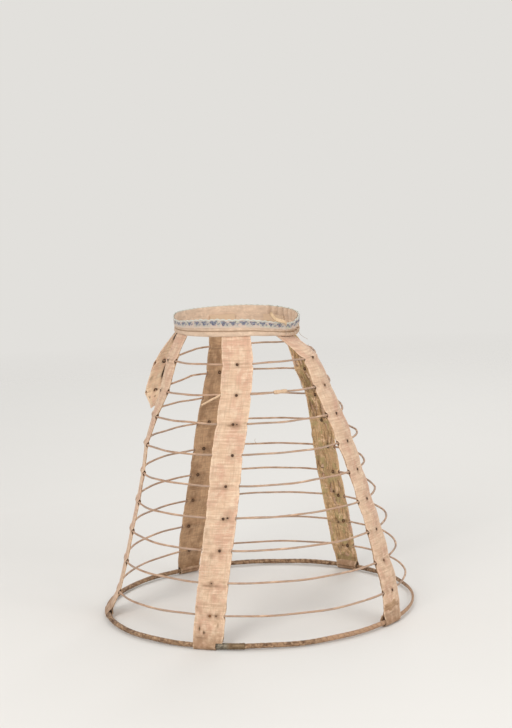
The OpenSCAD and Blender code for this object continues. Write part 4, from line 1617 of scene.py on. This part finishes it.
# Loose threads at the edges of the tapes: tape, layer, hoop above, share of the way down,
# side of the tape, length and curl
EDGE_THREADS = [
    ("back_tape_left", 1, 3, 0.92, 1, 9, 2.5), ("back_tape_left", 1, 4, 0.85, 1, 7, 2.0),
    ("back_tape_left", 1, 2, 0.90, 1, 5, 2.0), ("back_tape_left", 1, WAIST, 0.55, 1, 5, 1.5),
    ("back_tape_left", 1, 6, 0.40, 1, 4, 2.0), ("side_tape_left", 1, 0, 0.95, -1, 4, 2.0),
    ("side_tape_left", 1, 5, 0.40, -1, 3, 2.0), ("side_tape_left", 1, 7, 0.60, 1, 4, 2.0),
    ("front_tape_left", 1, 4, 0.50, 1, 4, 2.0), ("front_tape_right", -1, 1, 0.96, -1, 6, 2.0),
    ("front_tape_right", -1, 1, 0.99, 1, 5, 2.0), ("side_tape_left", 1, 8, 0.90, -1, 5, 1.5),
    ("side_tape_left", 1, 8, 0.95, 1, 5, 1.5), ("side_tape_right", -1, 3, 0.55, 1, 5, 1.5),
]
# Angles of the thread that hangs from the waistband, and of the one that curls up from hoop 5
HANGING_AT = 158.0
CURL_AT = -98.0
# What is left of the torn lining: how many threads, and the hoops above them by their odds
LINING_THREADS = 46
LINING_GAPS = [0, 0, 0, 1, 1, 2, 2, 3, 4]


def edge_thread(place, seed, sizes):
    """Loose thread at the edge of a tape, from a row of the table"""
    name, side, k, share, edge, length, curl = place
    points = tape_points(name, Row(k, share), np.array([-1.0, -0.9, 0.9, 1.0]), side, 1, sizes)
    start, beside = (points[-1], points[-2]) if edge > 0 else (points[0], points[1])
    way = start - beside
    line = hair(start - way * 0.4, way + np.array([0, 0, 0.6]), length, curl, seed)
    return thread(line, 0.26, 0.14, (0.1, 0.2, 1))


def lining_thread(index, draw, sizes):
    """Thread of the torn lining that runs down a gap and stands off its tape"""
    k = int(draw.choice(LINING_GAPS))
    spread = draw.uniform(-0.9, 0.9)
    first = draw.uniform(0.05, 0.45)
    count = 14
    line = []
    for i in range(count):
        row = Row(k, first + (0.95 - first) * i / (count - 1))
        spot = np.array([spread - 0.02, spread + 0.12 * math.sin(i * 0.4 + index)])
        inside = tape_points("back_tape_right", row, np.clip(spot, -1, 1), -1, 1, sizes)[1]
        inward = unit(np.array([-inside[0], -inside[1], 0]))
        lift = (0.6 + draw.uniform(0, 1.4)) * math.sin(math.pi * i / (count - 1))
        line.append(inside + inward * lift)
    width = draw.uniform(0.25, 0.5)
    return thread(smoothed(line, 2), width, width, (0.9, 0.3, 0.1))


class CAGE_OT_threads(bpy.types.Operator):
    """Threads that have come loose from the cloth, and what is left of the torn lining"""

    bl_idname = "cage.threads"
    bl_label = "Loose threads"

    def execute(self, context):
        sizes = context.scene.cage_sizes
        pale = spun_thread("loose thread", srgb(206, 184, 160))
        parts = [edge_thread(place, 50 + i, sizes) for i, place in enumerate(EDGE_THREADS)]
        start = ring(WAIST, np.array([HANGING_AT]), 4.0)[0] + np.array([0, 0, 6.0])
        line = hair(start, (0.1, 0.2, -1), 22, 0.6, 7)
        parts.append(thread(line, 0.34, 0.2, (1, 0.2, 0.1)))
        line = hair(ring(4, np.array([CURL_AT]))[0], (0.3, -0.2, 1), 10, 4.0, 11)
        parts.append(thread(line, 0.4, 0.25, (1, 0.2, 0.1)))
        new_piece("loose_threads", *joined(parts), "binding_thread", pale)

        olive = spun_thread("lining thread", srgb(192, 158, 116))
        draw = np.random.RandomState(12)
        parts = [lining_thread(index, draw, sizes) for index in range(LINING_THREADS)]
        new_piece("frayed_lining", *joined(parts), "tape_inner", olive)
        return {"FINISHED"}


# Studio, in metres

ROOM_TINT = (1, 0.99, 0.98, 1)
ROOM_LIGHT = 0.66
# Rings of the floor, and how far from the middle it fades into the background
FLOOR_RINGS = [0.01, *range(1, 10)]
FLOOR_SIDES = 96
FLOOR_FADE = (0.9, 3.6)
# Lamps: place, size, power and tint
LAMPS = {
    "key_lamp": ((2.45, -1.7, 2.2), 1.5, 52, (1, 0.985, 0.965)),
    "fill_lamp": ((2.3, 1.9, 1.4), 1.8, 31, (1, 0.99, 0.98)),
    "back_lamp": ((-2.4, 0.8, 2.4), 1.6, 24, (0.98, 0.99, 1)),
}
LAMP_AIM = Vector((0, 0, 0.24))
# Camera: place, the point that it looks at, its lean to one side, and its lens
EYE = Vector((2.3889, -0.2511, 0.6893))
EYE_AIM = Vector((0, 0.0094, 0.3739))
EYE_LEAN = -2.53
LENS = 78.82


def light_room(scene, pale):
    """World that lights the cage softly, and shows pale to the camera and in gloss"""
    world = bpy.data.worlds.new("studio")
    scene.world = world
    world.use_nodes = True
    tree = world.node_tree
    tree.nodes.clear()
    room = add_node(tree, "ShaderNodeBackground", {"Color": ROOM_TINT, "Strength": ROOM_LIGHT})
    seen = add_node(tree, "ShaderNodeBackground", {"Color": (*pale, 1), "Strength": 1.0})
    rays = add_node(tree, "ShaderNodeLightPath").node.outputs
    either = {0: rays["Is Camera Ray"], 1: rays["Is Glossy Ray"]}
    looked_at = add_node(tree, "ShaderNodeMath", either, operation="MAXIMUM")
    choice = add_node(tree, "ShaderNodeMixShader", {0: looked_at, 1: room, 2: seen})
    tree.links.new(choice, tree.nodes.new("ShaderNodeOutputWorld").inputs["Surface"])


def floor_paper(pale):
    """Paper of the floor, which fades away well behind the cage"""
    f = Finish("floor paper", pale, roughness=0.95)
    f.shade = f.mix(f.ranged(f.grain(3.0, 3.0), 0.3, 0.7, 0.0, 0.04), pale, darker(pale, 0.8))
    f.paint()
    place = f.node("ShaderNodeTexCoord", out=3)
    far = f.node("ShaderNodeVectorMath", {0: place}, out=1, operation="LENGTH")
    clear = f.node("ShaderNodeBsdfTransparent")
    faded = {0: f.above(far, *FLOOR_FADE), 1: f.shader.outputs[0], 2: clear}
    blend = f.node("ShaderNodeMixShader", faded)
    f.tree.links.new(blend, f.tree.nodes["Material Output"].inputs["Surface"])
    return f.material


def lay_floor(scene, pale):
    """Round floor under the cage"""
    turns = [2 * math.pi * i / FLOOR_SIDES for i in range(FLOOR_SIDES)]
    points = [(r * math.cos(a), r * math.sin(a), 0) for r in FLOOR_RINGS for a in turns]
    faces = grid_faces(len(FLOOR_RINGS), FLOOR_SIDES, close_columns=True)
    faces.append(tuple(range(FLOOR_SIDES)))
    mesh = bpy.data.meshes.new("studio_floor")
    mesh.from_pydata(points, [], faces)
    mesh.materials.append(floor_paper(pale))
    floor = bpy.data.objects.new("studio_floor", mesh)
    scene.collection.objects.link(floor)


def hang_lamps(scene):
    """Soft square lamps round the cage"""
    for name, (spot, size, power, tint) in LAMPS.items():
        light = bpy.data.lights.new(name, "AREA")
        light.shape = "SQUARE"
        light.size = size
        light.energy = power
        light.color = tint
        lamp = bpy.data.objects.new(name, light)
        lamp.location = spot
        lamp.rotation_euler = (LAMP_AIM - Vector(spot)).to_track_quat("-Z", "Y").to_euler()
        scene.collection.objects.link(lamp)


def set_camera(scene):
    """Camera at the viewing angle, a little above the cage"""
    eye = bpy.data.cameras.new("camera")
    eye.sensor_fit = "VERTICAL"
    eye.sensor_height = 36
    eye.lens = LENS
    eye.clip_end = 60
    camera = bpy.data.objects.new("camera", eye)
    turn = (EYE_AIM - EYE).to_track_quat("-Z", "Y").to_matrix()
    lean = Matrix.Rotation(math.radians(EYE_LEAN), 3, "Z")
    camera.matrix_world = Matrix.Translation(EYE) @ (turn @ lean).to_4x4()
    scene.collection.objects.link(camera)
    scene.camera = camera


class CAGE_OT_studio(bpy.types.Operator):
    """Pale floor, soft lamps and the camera at the viewing angle"""

    bl_idname = "cage.studio"
    bl_label = "Studio"

    def execute(self, context):
        scene, pale = context.scene, context.scene.cage_colours.floor
        scene.view_settings.view_transform = "Standard"
        light_room(scene, pale)
        lay_floor(scene, pale)
        hang_lamps(scene)
        set_camera(scene)
        return {"FINISHED"}


OPERATORS = [
    CAGE_OT_studio,
    CAGE_OT_tapes,
    CAGE_OT_hoops,
    CAGE_OT_foot_hoop,
    CAGE_OT_waistband,
    CAGE_OT_studs,
    CAGE_OT_repairs,
    CAGE_OT_sleeve,
    CAGE_OT_tie,
    CAGE_OT_threads,
]


class CAGE_PT_panel(bpy.types.Panel):
    """Lists the pieces of the cage, and its sizes and colours"""

    bl_idname = "CAGE_PT_panel"
    bl_label = "Crinoline cage"
    bl_space_type = "VIEW_3D"
    bl_region_type = "UI"
    bl_category = "Crinoline"

    def draw(self, context):
        for operator in OPERATORS:
            self.layout.operator(operator.bl_idname)
        for group in (context.scene.cage_sizes, context.scene.cage_colours):
            for name in group.bl_rna.properties.keys():
                if name not in ("rna_type", "name"):
                    self.layout.prop(group, name)


CLASSES = [CageSizes, CageColours, *OPERATORS, CAGE_PT_panel]


def register():
    for item in CLASSES:
        bpy.utils.register_class(item)
    bpy.types.Scene.cage_sizes = bpy.props.PointerProperty(type=CageSizes)
    bpy.types.Scene.cage_colours = bpy.props.PointerProperty(type=CageColours)


def unregister():
    del bpy.types.Scene.cage_sizes
    del bpy.types.Scene.cage_colours
    for item in reversed(CLASSES):
        bpy.utils.unregister_class(item)


def main():
    register()
    bpy.ops.cage.studio()
    bpy.ops.cage.tapes()
    bpy.ops.cage.hoops()
    bpy.ops.cage.foot_hoop()
    bpy.ops.cage.waistband()
    bpy.ops.cage.studs()
    bpy.ops.cage.repairs()
    bpy.ops.cage.sleeve()
    bpy.ops.cage.tie()
    bpy.ops.cage.threads()
    bpy.context.view_layer.update()


if __name__ == "__main__":
    main()
